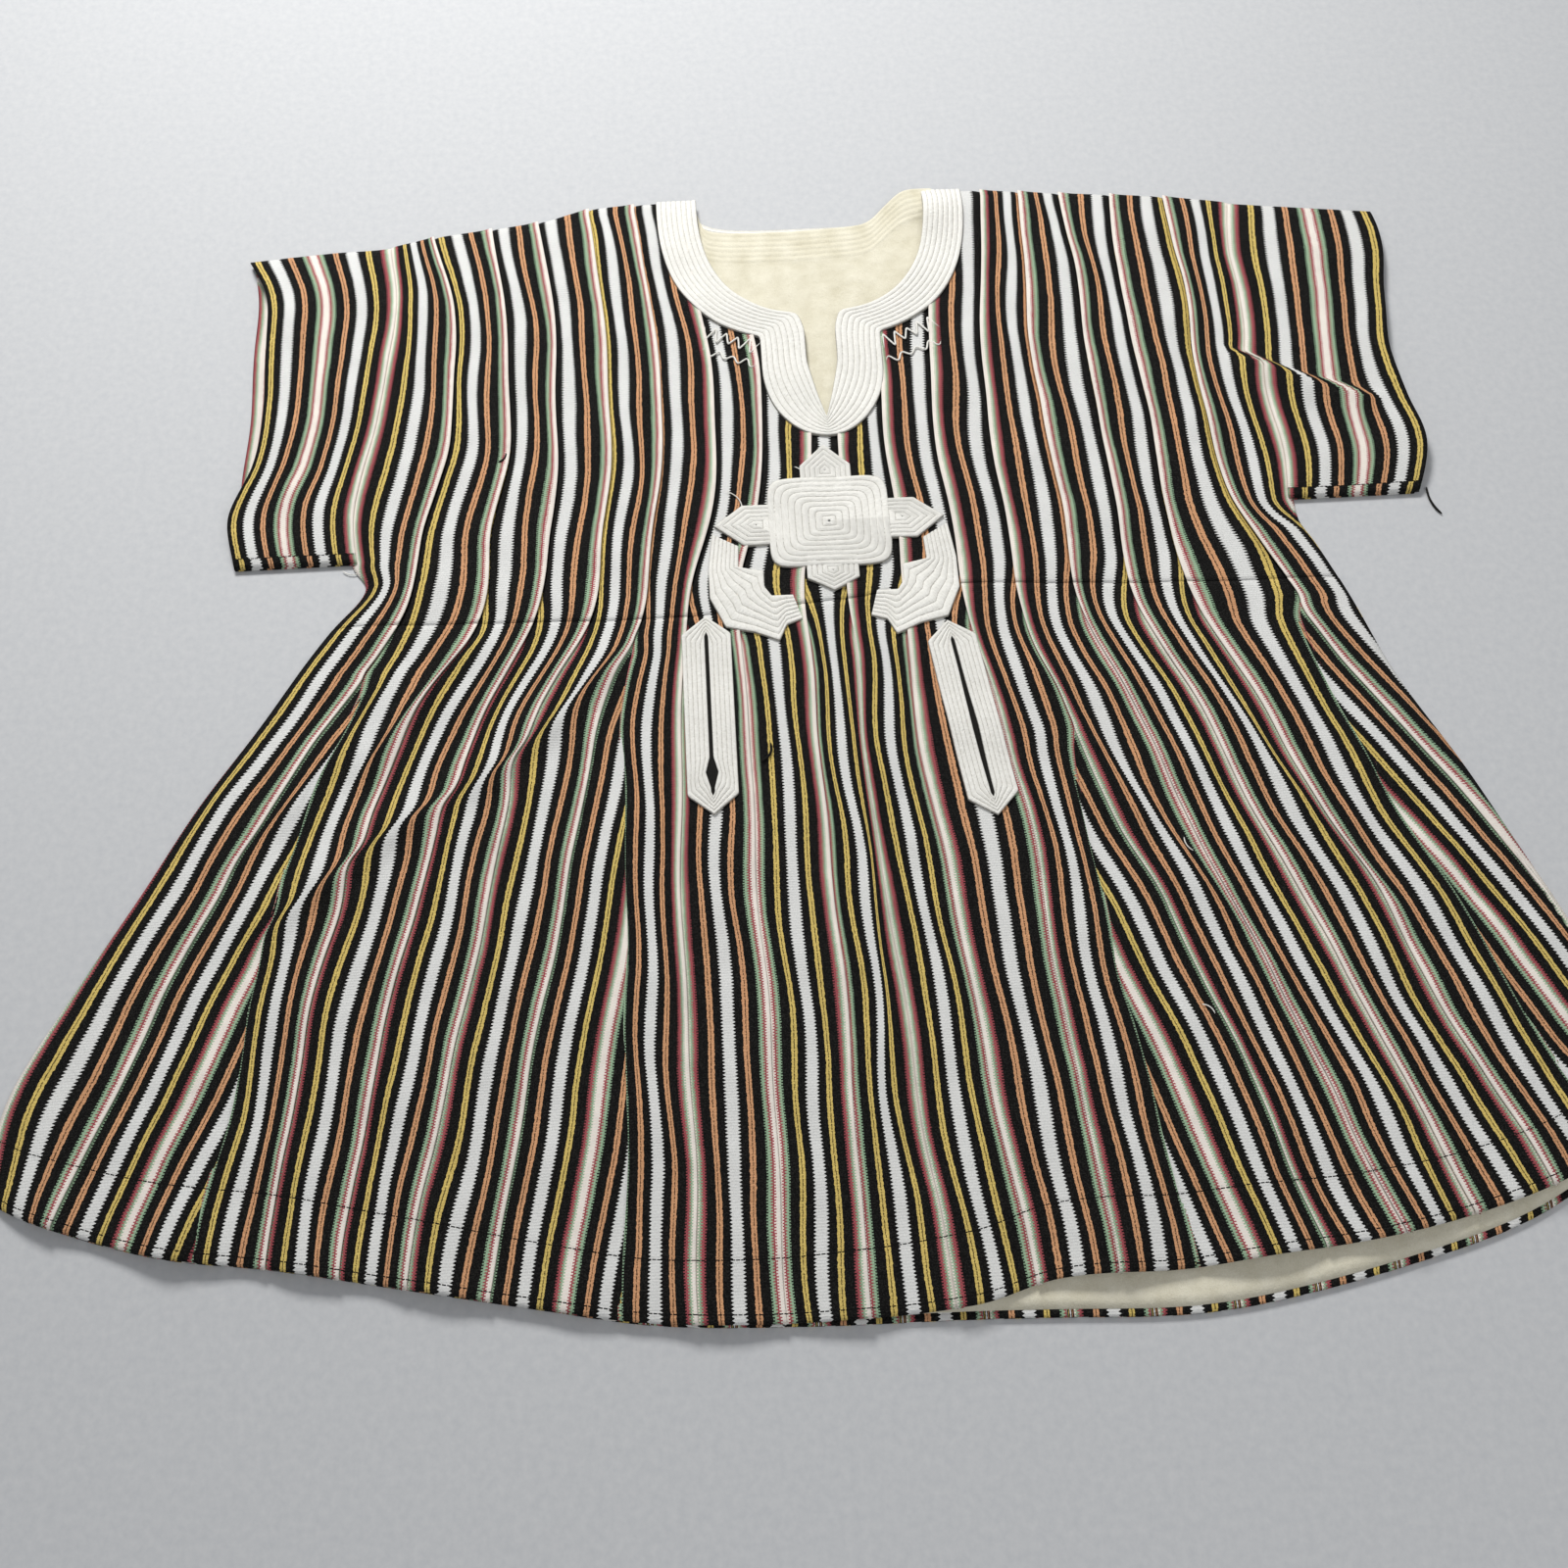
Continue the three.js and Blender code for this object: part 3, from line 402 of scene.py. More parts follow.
def strip_edges(index):
    """Left and right edge of a half strip: its seams, the edge of a gore that is let in beside it, and
    the side of the smock."""
    left, right = seam_at(index), seam_at(index + 1)
    for name, gore in GORES.items():
        tip = gore["edges"][0][0]
        gore_left, gore_right = gore_edges(name)
        left_neighbour = gore["beside"] - (1 if gore["crest"] == "left" else 0)
        if index == left_neighbour:
            right = turn_to(right, gore_left, tip)
        if index == left_neighbour + 1:
            left = turn_to(left, gore_right, tip)
    return (lambda y: np.minimum(left(y), right_at(y))), (lambda y: np.minimum(right(y), right_at(y)))


print("half strips:", len(HALF_STRIPS), "seams between them:", len(SEAMS))

# %% [markdown]
# ## Sheets from grids
#
# Every piece of cloth is a grid of points worked out as whole arrays. A patch is one grid with its strip
# coordinates: how far across the half strip a point lies and how far along it. Several patches make one
# mesh, and a Solidify modifier gives it the thickness of the cloth.

# %% Mesh helpers
CLOTH_SHELL = 1.1 * MM
NO_AREA = 1e-9  # square metres: where a strip runs out, its faces shrink to nothing and are left out


def quads(rows, columns, start):
    """Corner numbers of a grid's faces, counted from `start`, turning anticlockwise seen from above
    when rows run down the page and columns run to the right."""
    corner = start + np.arange(rows * columns).reshape(rows, columns)
    faces = np.stack([corner[1:, :-1], corner[1:, 1:], corner[:-1, 1:], corner[:-1, :-1]], axis=-1)
    return faces.reshape(-1, 4)


def make_mesh(name, points, faces, layers):
    """A mesh from corner numbers, with one UV map per entry of `layers`, given for each vertex."""
    mesh = bpy.data.meshes.new(name)
    mesh.from_pydata(points.tolist(), [], faces.tolist())
    corner = np.zeros(len(mesh.loops), np.int32)
    mesh.loops.foreach_get("vertex_index", corner)
    for layer, values in layers.items():
        uv = mesh.uv_layers.new(name=layer)
        uv.data.foreach_set("uv", np.ascontiguousarray(values[corner], np.float32).ravel())
    mesh.polygons.foreach_set("use_smooth", np.ones(len(mesh.polygons), bool))
    mesh.update()
    piece = bpy.data.objects.new(name, mesh)
    bpy.context.scene.collection.objects.link(piece)
    return piece


def faces_out(patch, faces, first, side):
    """The faces turned so that most of them look up (side 1) or down (side -1)."""
    corner = patch["points"].reshape(-1, 3)[faces - first]
    across = np.cross(corner[:, 2] - corner[:, 0], corner[:, 3] - corner[:, 1])
    return faces if across[:, 2].sum() * side > 0 else faces[:, ::-1]


def make_sheet(name, patches, material, thickness=CLOTH_SHELL, side=1):
    """One object from several grids. Each patch has `points` and `strip` for every point, perhaps
    `crests`, `threads` and `seam`, for the whole patch or for every point, and perhaps `keep`, which
    faces are kept. `side` is 1 if the outer face looks up, -1 if it looks down and 0 to keep it."""
    points, faces, start = [], [], 0
    layers = {"strip": [], "crests": [], "threads": [], "seam": []}
    for patch in patches:
        rows, columns = patch["points"].shape[:2]
        some = quads(rows, columns, start)
        if side:
            some = faces_out(patch, some, start, side)
        if "keep" in patch:
            some = some[patch["keep"].ravel()]
        points.append(patch["points"].reshape(-1, 3))
        faces.append(some)
        for layer, values in layers.items():
            given = np.asarray(patch.get(layer, (0.0, 1.0)), float)
            values.append(np.broadcast_to(given, (rows, columns, 2)).reshape(-1, 2))
        start += rows * columns
    points, faces = np.concatenate(points), np.concatenate(faces)
    corner = points[faces]
    doubled = np.cross(corner[:, 2] - corner[:, 0], corner[:, 3] - corner[:, 1])
    area = -doubled[:, 2] if side < 0 else np.linalg.norm(doubled, axis=1)
    faces = faces[area > NO_AREA]
    layers = {layer: np.concatenate(values) for layer, values in layers.items()}
    used = np.unique(faces)
    number = np.zeros(len(points), int)
    number[used] = np.arange(len(used))
    piece = make_mesh(name, points[used], number[faces], {k: v[used] for k, v in layers.items()})
    piece.data.materials.append(material)
    if thickness:
        solid = piece.modifiers.new("Thickness", "SOLIDIFY")
        solid.thickness = thickness
        solid.offset = -1.0
    print(name, len(faces), "faces")
    return piece


# %% [markdown]
# ## Shader sums
#
# A wire is a node's output that can stand in a sum. Writing `1 - mask` or `wire * 3` adds the Math node,
# so a material reads like the formula it is.

# %% A small language for shaders
def operator(operation, swapped=False):
    """A method that adds one Math node to a wire's material and returns the node's output."""
    def method(self, other=0.0):
        a, b = (other, self) if swapped else (self, other)
        return self.finish.node("Math", {"operation": operation}, {0: a, 1: b})

    return method


class Wire:
    """An output socket with arithmetic: each operator adds one Math node."""

    def __init__(self, finish, socket):
        self.finish, self.socket = finish, socket

    __add__ = __radd__ = operator("ADD")
    __mul__ = __rmul__ = operator("MULTIPLY")
    __sub__, __rsub__ = operator("SUBTRACT"), operator("SUBTRACT", swapped=True)
    __truediv__, __rtruediv__ = operator("DIVIDE"), operator("DIVIDE", swapped=True)
    __mod__ = operator("FLOORED_MODULO")
    __gt__, __lt__ = operator("GREATER_THAN"), operator("LESS_THAN")
    __abs__, wave = operator("ABSOLUTE"), operator("SINE")
    least, most = operator("MINIMUM"), operator("MAXIMUM")


class Finish:
    """A material under construction."""

    def __init__(self, name, **constants):
        self.material = bpy.data.materials.new(name)
        self.material.use_nodes = True
        self.tree = self.material.node_tree
        self.surface = self.tree.nodes["Principled BSDF"]
        for socket, value in constants.items():
            self.surface.inputs[socket.replace("_", " ")].default_value = value

    def node(self, kind, settings, values, out=0):
        """Adds one node: settings first, then a value or a wire for each named or numbered socket."""
        made = self.tree.nodes.new("ShaderNode" + kind)
        for setting, value in settings.items():
            setattr(made, setting, value)
        for socket, value in values.items():
            self.feed(made.inputs[socket], value)
        return Wire(self, made.outputs[out])

    def feed(self, socket, value):
        if isinstance(value, Wire):
            self.tree.links.new(value.socket, socket)
        else:
            socket.default_value = value

    def mix(self, share, below, above):
        """A colour between two colours."""
        values = {"Factor": share, 6: below, 7: above}
        return self.node("Mix", {"data_type": "RGBA"}, values, out=2)

    def noise(self, place, scale, detail=2.0, roughness=0.5):
        return self.node("TexNoise", {}, {"Vector": place, "Scale": scale, "Detail": detail,
                                          "Roughness": roughness})

    def split(self, vector):
        """The three coordinates of a vector."""
        parts = self.tree.nodes.new("ShaderNodeSeparateXYZ")
        self.feed(parts.inputs[0], vector)
        return [Wire(self, socket) for socket in parts.outputs]

    def uv(self, layer):
        """The two coordinates of a UV map, and the map itself as a vector."""
        whole = self.node("UVMap", {"uv_map": layer}, {})
        return *self.split(whole)[:2], whole

    def place(self):
        """The point on the object, in metres."""
        return self.node("TexCoord", {}, {}, out=3)

    def bump(self, height, distance, strength=1.0):
        return self.node("Bump", {}, {"Height": height, "Distance": distance, "Strength": strength})

    def to(self, socket, value):
        self.feed(self.surface.inputs[socket], value)
        return self


def colour(code):
    """A display colour such as '1a1a18' as the linear values that Blender works in."""
    parts = [int(code[i:i + 2], 16) / 255 for i in (0, 2, 4)]
    return [p / 12.92 if p <= 0.04045 else ((p + 0.055) / 1.055) ** 2.4 for p in parts] + [1.0]


print("shader helpers ready")

# %% [markdown]
# ## The strip cloth
#
# The warp of a loom strip is a fixed order of colours: a white crest edge, two coloured bands, black, an
# accent thread pair, black and a white centre. Distance from the nearest crest gives the colour, so the
# pattern is one mirrored ramp of thresholds. Two flags on each half strip swap the crest's two colours and
# choose the accent thread.

# %% Strip cloth material
BANDS = {"edge": 2.4, "inner": 4.4, "outer": 6.9, "black": 13.5, "thread": 17.3, "centre": 22.9}
DYE = {
    "black": colour("0b0a09"), "fleck": colour("2b2a27"), "white": colour("f0efea"),
    "grain": colour("b6b7b4"), "edge": colour("faf5ea"), "rib": colour("dcc6b8"),
    "orange": colour("e0a97d"), "dull_orange": colour("9a6640"), "yellow": colour("e6cc76"),
    "dull_yellow": colour("9a7a38"), "red": colour("b45e62"), "dull_red": colour("7a3238"),
    "green": colour("b2cba9"), "dull_green": colour("5b7d62"),
}
WEFT = 1.9   # spacing of the weft ribs in mm
TOOTH = 2.4  # spacing of the teeth along the white stripes in mm
PAIR_GAP = (14.9, 15.6)  # the dark gap between the two accent threads, in mm from the crest
STITCH = {"half_width": 0.4, "spacing": 3.2, "share": 0.82, "pucker": 1.6}


def band(wire, low, high):
    """1 where low < wire < high."""
    return (wire > low) * (wire < high)


def strip_cloth():
    finish = Finish("strip_cloth", Roughness=0.92, Specular_IOR_Level=0.15)
    across_m, along_m, strip = finish.uv("strip")
    crest_left, crest_right, _ = finish.uv("crests")
    thread_left, thread_right, _ = finish.uv("threads")
    stitch_run, stitch_off, _ = finish.uv("seam")
    place = finish.place()
    # The strips are hand-woven: the bands wander a little and differ from place to place.
    drift = (finish.noise(place, 22.0, 2.0, 0.6) - 0.5) * 1.6
    fray = (finish.noise(place, 420.0, 2.0, 0.7) - 0.5) * 1.5
    across = ((across_m / MM) % STRIP) + drift
    along = along_m / MM
    is_right = across > STRIP / 2
    crest = finish.node("Mix", {}, {"Factor": is_right, 2: crest_left, 3: crest_right})
    thread = finish.node("Mix", {}, {"Factor": is_right, 2: thread_left, 3: thread_right})
    # Warp threads step in and out with the weft: the white stripes get teeth, the crests a finer comb.
    rib = (along / WEFT) % 1.0
    tooth = abs(((along / TOOTH) % 1.0) - 0.5)
    comb = (rib > 0.5) * 1.1 - 0.55
    from_crest = abs(across.least(STRIP - across))
    toothed = from_crest + tooth * 4.0 - 1.0 + fray * 0.5
    knobbly = from_crest + fray * 1.1
    combed = from_crest + comb + fray
    # Fine grain and broad patches, both used to darken the dyes.
    speckle = finish.noise(place, 1100.0, 3.0, 0.7)
    mottle = finish.noise(place, 45.0, 3.0, 0.6)
    turned = finish.node("Mapping", {}, {"Vector": strip, "Rotation": (0, 0, 0.9), "Scale": (2.4, 0.8, 1)})
    twill = finish.noise(turned, 900.0, 2.0, 0.6)
    black = finish.mix((speckle > 0.54) * 0.7, DYE["black"], DYE["fleck"])
    white = finish.mix(twill * 1.5 - 0.2 + mottle * 0.3, DYE["grain"], DYE["white"])
    # Painted shade with random tone: where the weft rib dips, red and green darken to their dull tones and
    # the white edge to the rib tone, as shade in the weave's hollows; speckle adds random variation on top.
    dip = (rib < 0.45) * 0.45 + speckle * 0.3
    red = finish.mix(dip, DYE["red"], DYE["dull_red"])
    green = finish.mix(dip, DYE["green"], DYE["dull_green"])
    inner = finish.mix(crest, green, red)
    outer = finish.mix(crest, red, green)
    edge = finish.mix(dip * 0.8, DYE["edge"], DYE["rib"])
    worn = speckle * 1.7 - 0.6
    orange = finish.mix(worn, DYE["orange"], DYE["dull_orange"])
    yellow = finish.mix(worn, DYE["yellow"], DYE["dull_yellow"])
    accent = finish.mix(thread, orange, yellow)
    pair_gap = band(from_crest + fray * 0.8, *PAIR_GAP) * (speckle > 0.44) * 0.85
    accent = finish.mix(pair_gap, accent, DYE["black"])
    cloth = finish.mix(toothed > BANDS["centre"], black, white)
    cloth = finish.mix(band(knobbly, BANDS["black"], BANDS["thread"]), cloth, accent)
    cloth = finish.mix(combed < BANDS["outer"], cloth, outer)
    cloth = finish.mix(combed < BANDS["inner"], cloth, inner)
    cloth = finish.mix(combed < BANDS["edge"], cloth, edge)
    cloth = finish.mix(mottle * 0.5 - 0.12, cloth, finish.mix(0.6, cloth, DYE["black"]))
    # Machine stitches run where the seam coordinate is zero: dark dashes with a short gap between them.
    off_mm = abs(stitch_off / MM)
    dashes = (((stitch_run / MM) / STITCH["spacing"]) % 1.0) < STITCH["share"]
    stitch = (off_mm < STITCH["half_width"]) * dashes
    cloth = finish.mix(stitch, cloth, DYE["black"])
    weave = abs(rib - 0.5) * 0.8
    pucker = (off_mm < STITCH["pucker"]) * (-1.2)
    height = weave + speckle * 0.9 + twill * 0.5 + mottle * 3.0 + pucker
    finish.to("Base Color", cloth)
    finish.to("Normal", finish.bump(height, 0.0004, 0.8))
    return finish.material


STRIP_CLOTH = strip_cloth()

# %% [markdown]
# ## Lining and thread
#
# The lining is plain cream cotton: a fine weave and a little mottling. The embroidery is packed rows of
# thick off-white thread. Its rows are real ridges in the mesh, the stitches across them are bump, and the
# grooves between rows get painted shade.

# %% Plain materials
SHOW_THROUGH = {"period": 26, "strength": 0.045}  # the stripes behind the lining, in mm and as a share


def lining_cloth():
    finish = Finish("lining_cloth", Roughness=0.95, Specular_IOR_Level=0.15)
    place = finish.place()
    mottle = finish.noise(place, 60.0, 3.0, 0.6)
    weave = finish.noise(place, 1400.0, 1.0, 0.5)
    show_through = ((finish.split(place)[0] / MM) * (2 * math.pi / SHOW_THROUGH["period"])).wave()
    show_through = show_through * SHOW_THROUGH["strength"]
    finish.to("Base Color", finish.mix(mottle * 0.8 + weave * 0.5 + show_through - 0.15,
                                       colour("c3bb9f"), colour("f3eedb")))
    finish.to("Normal", finish.bump(weave + mottle * 4.0, 0.0004, 0.8))
    return finish.material


def embroidery_thread():
    finish = Finish("embroidery_thread", Roughness=0.7, Specular_IOR_Level=0.25)
    along_m, across_m, _ = finish.uv("strip")
    place = finish.place()
    mottle = finish.noise(place, 240.0, 3.0, 0.6)
    fray = finish.noise(place, 700.0, 2.0, 0.6)
    row = abs(((across_m / MM) % 1.0) - 0.5) * 2
    groove_and_painted_shade = (row + fray * 0.3 - 0.98).most(0.0) * 3.2
    stitch = finish.noise(finish.node("CombineXYZ", {}, {0: along_m, 1: across_m * 2.0}), 800.0, 1.0, 0.5)
    thread = finish.mix(mottle * 0.6 + stitch * 0.6 - 0.05, colour("d2cfc4"), colour("f7f5ee"))
    # Painted shade: the thread turns grey-brown (7c7565) in the grooves between rows, which are also lowered
    # in the bump.
    finish.to("Base Color", finish.mix(groove_and_painted_shade.least(0.7), thread, colour("7c7565")))
    finish.to("Normal", finish.bump(stitch * 1.2 + mottle + fray - groove_and_painted_shade, 0.0005, 0.8))
    return finish.material


def sewing_thread():
    finish = Finish("sewing_thread", Roughness=0.95, Specular_IOR_Level=0.1)
    twist = finish.noise(finish.place(), 900.0, 2.0, 0.6)
    finish.to("Base Color", finish.mix(twist, DYE["black"], DYE["fleck"]))
    finish.to("Normal", finish.bump(twist, 0.0002, 0.6))
    return finish.material


LINING_CLOTH = lining_cloth()
THREAD = embroidery_thread()
BLACK_THREAD = sewing_thread()
print("materials:", [m.name for m in (STRIP_CLOTH, LINING_CLOTH, THREAD, BLACK_THREAD)])

# %% [markdown]
# ## The front panels
#
# Each half strip is its own grid. A few extra columns carry one edge down under the neighbour and roll the
# other over its fold, so the tucks are real overlaps and cast real shadow lines.

# %% Half-strip grids
FLAG = {"red": 0, "green": 1, "orange": 0, "yellow": 1}
UNDER = {"x": (-4.0, -1.5), "z": (-1.5, -1.1)}          # columns tucked under the neighbour
ROLL = {"x": (0.7, 0.5, -0.8), "z": (-0.5, -1.2, -1.7)}  # columns rolled over the fold
RISE = 2.0                                               # how far a fold stands up
FOLD_REACH = 6.0                                         # over this distance from its edge
SINK = 0.8                                               # a tuck sinks by this share of the rise
TUCK_REACH = 4.0                                         # over this distance from its edge
HEM_ROLL = 1.8                                           # how far the hem's edge rolls down
HEM_EDGE = 1.4                                           # over this distance
LEAST_TOP = 1.3                                          # the cloth's top is never lower than this
HEM_STITCHES = {"low": 6.0, "high": 43.0, "swing": 4, "wave": 90}  # two lines, the upper one uneven
CUFF_STITCH = 8.0
SETTLING = 4                                             # rounds that a panel's grid takes to settle
STARTS = {"bodice": (BODICE_TOP, WAIST_LEVEL), "skirt": (WAIST_LEVEL, HEM_CORNER)}
NO_STITCHES = 1000.0                                     # a distance at which no line of stitches shows
WEFT_START = 0.37                                        # metres: two strips' weft ribs don't line up
WANDER = as_rows(("height", "length", "phase"), ((0.8, 37, 2.1), (0.6, 17, 4.7)))


def settle(place_x, start, v, count, top_at, foot_at):
    """The grid of a panel whose top and foot are curves: x needs the level y, and y = top + (foot - top) v
    needs x. Both begin on straight levels and are worked out in turn until they agree."""
    y = np.repeat(lerp(*start, v), count, axis=1)
    for _ in range(SETTLING):
        x = place_x(y)
        y = lerp(top_at(x), foot_at(x), v)
    return x, y


def warp_flags(index):
    """What the shader is told about a half strip: its crest's colours and its accent threads."""
    half = HALF_STRIPS[index]
    return {"crests": (FLAG[half["left_crest"]], FLAG[half["right_crest"]]),
            "threads": (FLAG[half["left_thread"]], FLAG[half["right_thread"]])}


def wander(index, y):
    """A little unevenness of a seam: two slow waves whose phase depends on the seam."""
    return sum(wave["height"] * np.sin(y / wave["length"] + index * wave["phase"]) for wave in WANDER)


def strip_columns(count, fold):
    """Columns of a half strip as share across, sideways offset and height offset, in mm. `fold` is the
    side that is rolled over, or None where both edges are tucked under."""
    share = np.linspace(0, 1, count)
    zero = np.zeros(count)
    roll = [np.array(ROLL[k]) for k in ("x", "z")]
    under = [np.array(UNDER[k]) for k in ("x", "z")]
    if fold is None:
        parts = [(0 * under[0], under[0], under[1]), (share, zero, zero),
                 (1 + 0 * under[0], -under[0][::-1], under[1][::-1])]
    elif fold == "right":
        parts = [(0 * under[0], under[0], under[1]), (share, zero, zero), (1 + 0 * roll[0], roll[0], roll[1])]
    else:
        parts = [(0 * roll[0], -roll[0][::-1], roll[1][::-1]), (share, zero, zero),
                 (1 + 0 * under[0], -under[0][::-1], under[1][::-1])]
    return [np.concatenate(column) for column in zip(*parts)]


def fold_side(index):
    if index == MIDDLE_STRIP:
        return None
    return "right" if index < MIDDLE_STRIP else "left"


def hem_stitches(x, above):
    """Zero on both stitch lines above the hem: (above - low)(above - high) / (high - low)."""
    low = HEM_STITCHES["low"]
    high = HEM_STITCHES["high"] + HEM_STITCHES["swing"] * np.sin(x / HEM_STITCHES["wave"])
    return (above - low) * (above - high) / (high - low)


def front_patch(panel, index, rows, count, lift=1.0):
    """The grid of one half strip on the front's bodice or skirt. `lift` scales the height of its fold."""
    left, right = strip_edges(index)
    fold = fold_side(index)
    share, aside, drop = strip_columns(count, fold)
    sway = share * (1 - share) * 4 + 0.2

    def place_x(y):
        return lerp(left(y), right(y), share) + wander(index + share, y) * sway

    top_at, foot_at = (shoulder_at, waist_at) if panel == "bodice" else (waist_at, hem_at["front"])
    x, y = settle(place_x, STARTS[panel], rows[:, None], len(share), top_at, foot_at)
    width = np.maximum(right(y) - left(y), 0.01)
    from_left, from_right = share * width, (1 - share) * width
    near_fold = from_right if fold == "right" else from_left
    near_tuck = from_left if fold == "right" else from_right
    rise = lift * RISE * (np.exp(-near_fold / FOLD_REACH) - SINK * np.exp(-near_tuck / TUCK_REACH))
    if fold is None:
        rise = -lift * RISE * SINK * (np.exp(-from_left / TUCK_REACH) + np.exp(-from_right / TUCK_REACH))
    hide_left, hide_right = hidden_part(index)(y)
    across = lerp(hide_left, STRIP - hide_right, share) + aside
    roll, stitches = 0.0, NO_STITCHES
    if panel == "skirt":
        above = y - foot_at(x)
        roll = HEM_ROLL * bell(above, HEM_EDGE)
        stitches = hem_stitches(x, above)
    seam = uv_pair(x, stitches)
    x, y = drawn_together(x + aside, y)
    z = np.maximum(front_underside(x, y) + CLOTH + rise + drop - roll, LEAST_TOP)
    strip = uv_pair(across, y) + (0, index * WEFT_START)
    return {"points": to_frame(x, y, z), "x": x, "y": y, "strip": strip, "seam": seam, **warp_flags(index)}


SLANT_REACH = 30.0  # the slant is taken over this much of a seam above and below a level
RIGHT_TRIM = 4.5
UNDERARM_BLEND = 30.0  # the right side is cut fully from this far below the underarm


def hidden_part(index):
    """How much of a half strip is hidden at each end: all of its tuck above the waist, then less and
    less until only the lap of the seam is left. Below the underarm the strips at the sides are cut by
    the side seam. On the right what is left of the strip is its width there, measured across the
    slant."""
    half = HALF_STRIPS[index]
    left, right = strip_edges(index)
    left_cut = curve(LEFT_CUT, "y", "cut")

    def hidden(y):
        tucked = smoothstep(y, *LET_OUT)
        hide_left = lerp(half["lap_left"], half["tuck_left"], tucked)
        hide_right = lerp(half["lap_right"], half["tuck_right"], tucked)
        if index == 0:
            hide_left = left_cut(y)
        if index == len(HALF_STRIPS) - 1:
            slant = (left(y + SLANT_REACH) - left(y - SLANT_REACH)) / (2 * SLANT_REACH)
            cut = STRIP - (right(y) - left(y)) / np.hypot(1, slant) + RIGHT_TRIM
            underarm = UNDERARM["right"]
            hide_right = cut * (1 - smoothstep(y, underarm - UNDERARM_BLEND, underarm))
        return hide_left, hide_right

    return hidden


def face_centres(grid):
    return (grid[1:, 1:] + grid[:-1, 1:] + grid[1:, :-1] + grid[:-1, :-1]) / 4


# %% [markdown]
# ## The neck opening
#
# The neck is a rounded bowl that runs into a narrow slit. The bodice could be trimmed with a boolean, but
# leaving out the faces inside the opening keeps the grids whole. The cut lies a little outside the
# opening, and the embroidered band hides it.

# %% Neck outline
NECK = {
    "x": -1.0, "power": 2.6,
    "inner": {"half_width": 96, "depth": 125, "slit": 17},
    "outer": {"half_width": 130, "depth": 152, "slit": 49},
    "tongue_top": 300.0, "tongue_point": 233.0,
}
SLIT = {"y": [252, 275, 305, 339], "half": [0, 6.2, 12.5, 12.5]}
SLIT_TIP = 0.15  # half width of the band's slit at its very point


def neck_bowl(part, count):
    """Half of a rounded neck as a superellipse: width x cos^(2/p) against depth x sin^(2/p), from the
    shoulder down to where the slit begins."""
    size, power = NECK[part], NECK["power"]
    last = math.acos((size["slit"] / size["half_width"]) ** (power / 2))
    angle = np.linspace(0, 1, count) * last
    return np.stack([size["half_width"] * np.cos(angle) ** (2 / power),
                     SHOULDER_LEVEL - size["depth"] * np.sin(angle) ** (2 / power)], axis=-1)


def run_along(points):
    """How far along a path each of its points lies."""
    return np.append(0, np.cumsum(np.hypot(*np.diff(points, axis=0).T)))


def resample(points, count):
    """The same path with `count` points evenly spaced along it."""
    points = np.asarray(points, float)
    run = run_along(points)
    place = np.linspace(0, run[-1], count)
    return np.stack([np.interp(place, run, points[:, i]) for i in (0, 1)], axis=-1)


def neck_half(x, y):
    """Half width of the neck opening at a level, or less than nothing below it."""
    bowl = neck_bowl("inner", 60)[::-1]
    half = np.interp(y, bowl[:, 1], bowl[:, 0])
    slit = np.interp(y, SLIT["y"], SLIT["half"], left=-100)
    return np.where(y > bowl[0, 1], half, slit)


def inside_neck(x, y, grow):
    return np.abs(x - NECK["x"]) < neck_half(x, y + grow) + grow


# %% [markdown]
# ## Bodice and skirt of the front
#
# Both panels are the same row of half strips. The bodice ends at the waist seam with its tucks still
# folded, and the skirt starts there and lets them out.

# %% Bodice and skirt of the front
BODICE_ROWS = np.linspace(0, 1, 90)
NEAR_HEM = (0.988, 0.993, 0.997, 1.0)  # closer rows where the hem's edge rolls over
SKIRT_ROWS = np.append(np.linspace(0, NEAR_HEM[0], 126), NEAR_HEM[1:])
BODICE_COLUMNS, SKIRT_COLUMNS = 14, 15
SKIRT_LIFT = 0.7
NECK_SEAT = 9.0  # how far the cut stays outside the opening, under the band


def front_bodice():
    patches = []
    for index in range(len(HALF_STRIPS)):
        patch = front_patch("bodice", index, BODICE_ROWS, BODICE_COLUMNS)
        x, y = face_centres(patch["x"]), face_centres(patch["y"])
        patch["keep"] = ~inside_neck(x, y, NECK_SEAT)
        patches.append(patch)
    return make_sheet("front_bodice_cloth", patches, STRIP_CLOTH)


def front_skirt():
    patches = [front_patch("skirt", index, SKIRT_ROWS, SKIRT_COLUMNS, lift=SKIRT_LIFT)
               for index in range(len(HALF_STRIPS))]
    return make_sheet("front_skirt_cloth", patches, STRIP_CLOTH)


front_bodice_cloth = front_bodice()
front_skirt_cloth = front_skirt()

# %% [markdown]
# ## Gores
#
# A gore is a wedge of the same cloth. Its stripes run along the crest it hangs from, so the cut seam on
# its other side crosses them, and more stripes come out from under the seam towards the hem.

# %% Front gores
GORE_HIDDEN = 5.2  # how much of the crest the seam takes up
GORE_TUCK = 3.0    # how far each edge runs under its neighbour
GORE_DIP = 1.1     # how far the edges sink into their seams
DIP_REACH = 4.0    # over this distance
BACK_DIP = -0.4    # the back's seams stand up a little instead, because its outer face is on the floor
SIDE_GAP = 0.5     # how far a gore stays inside the smock's side
GORE_COLUMN_COUNT = 34
GORE_ROWS = np.append(np.linspace(0, NEAR_HEM[0], 97), NEAR_HEM[1:])


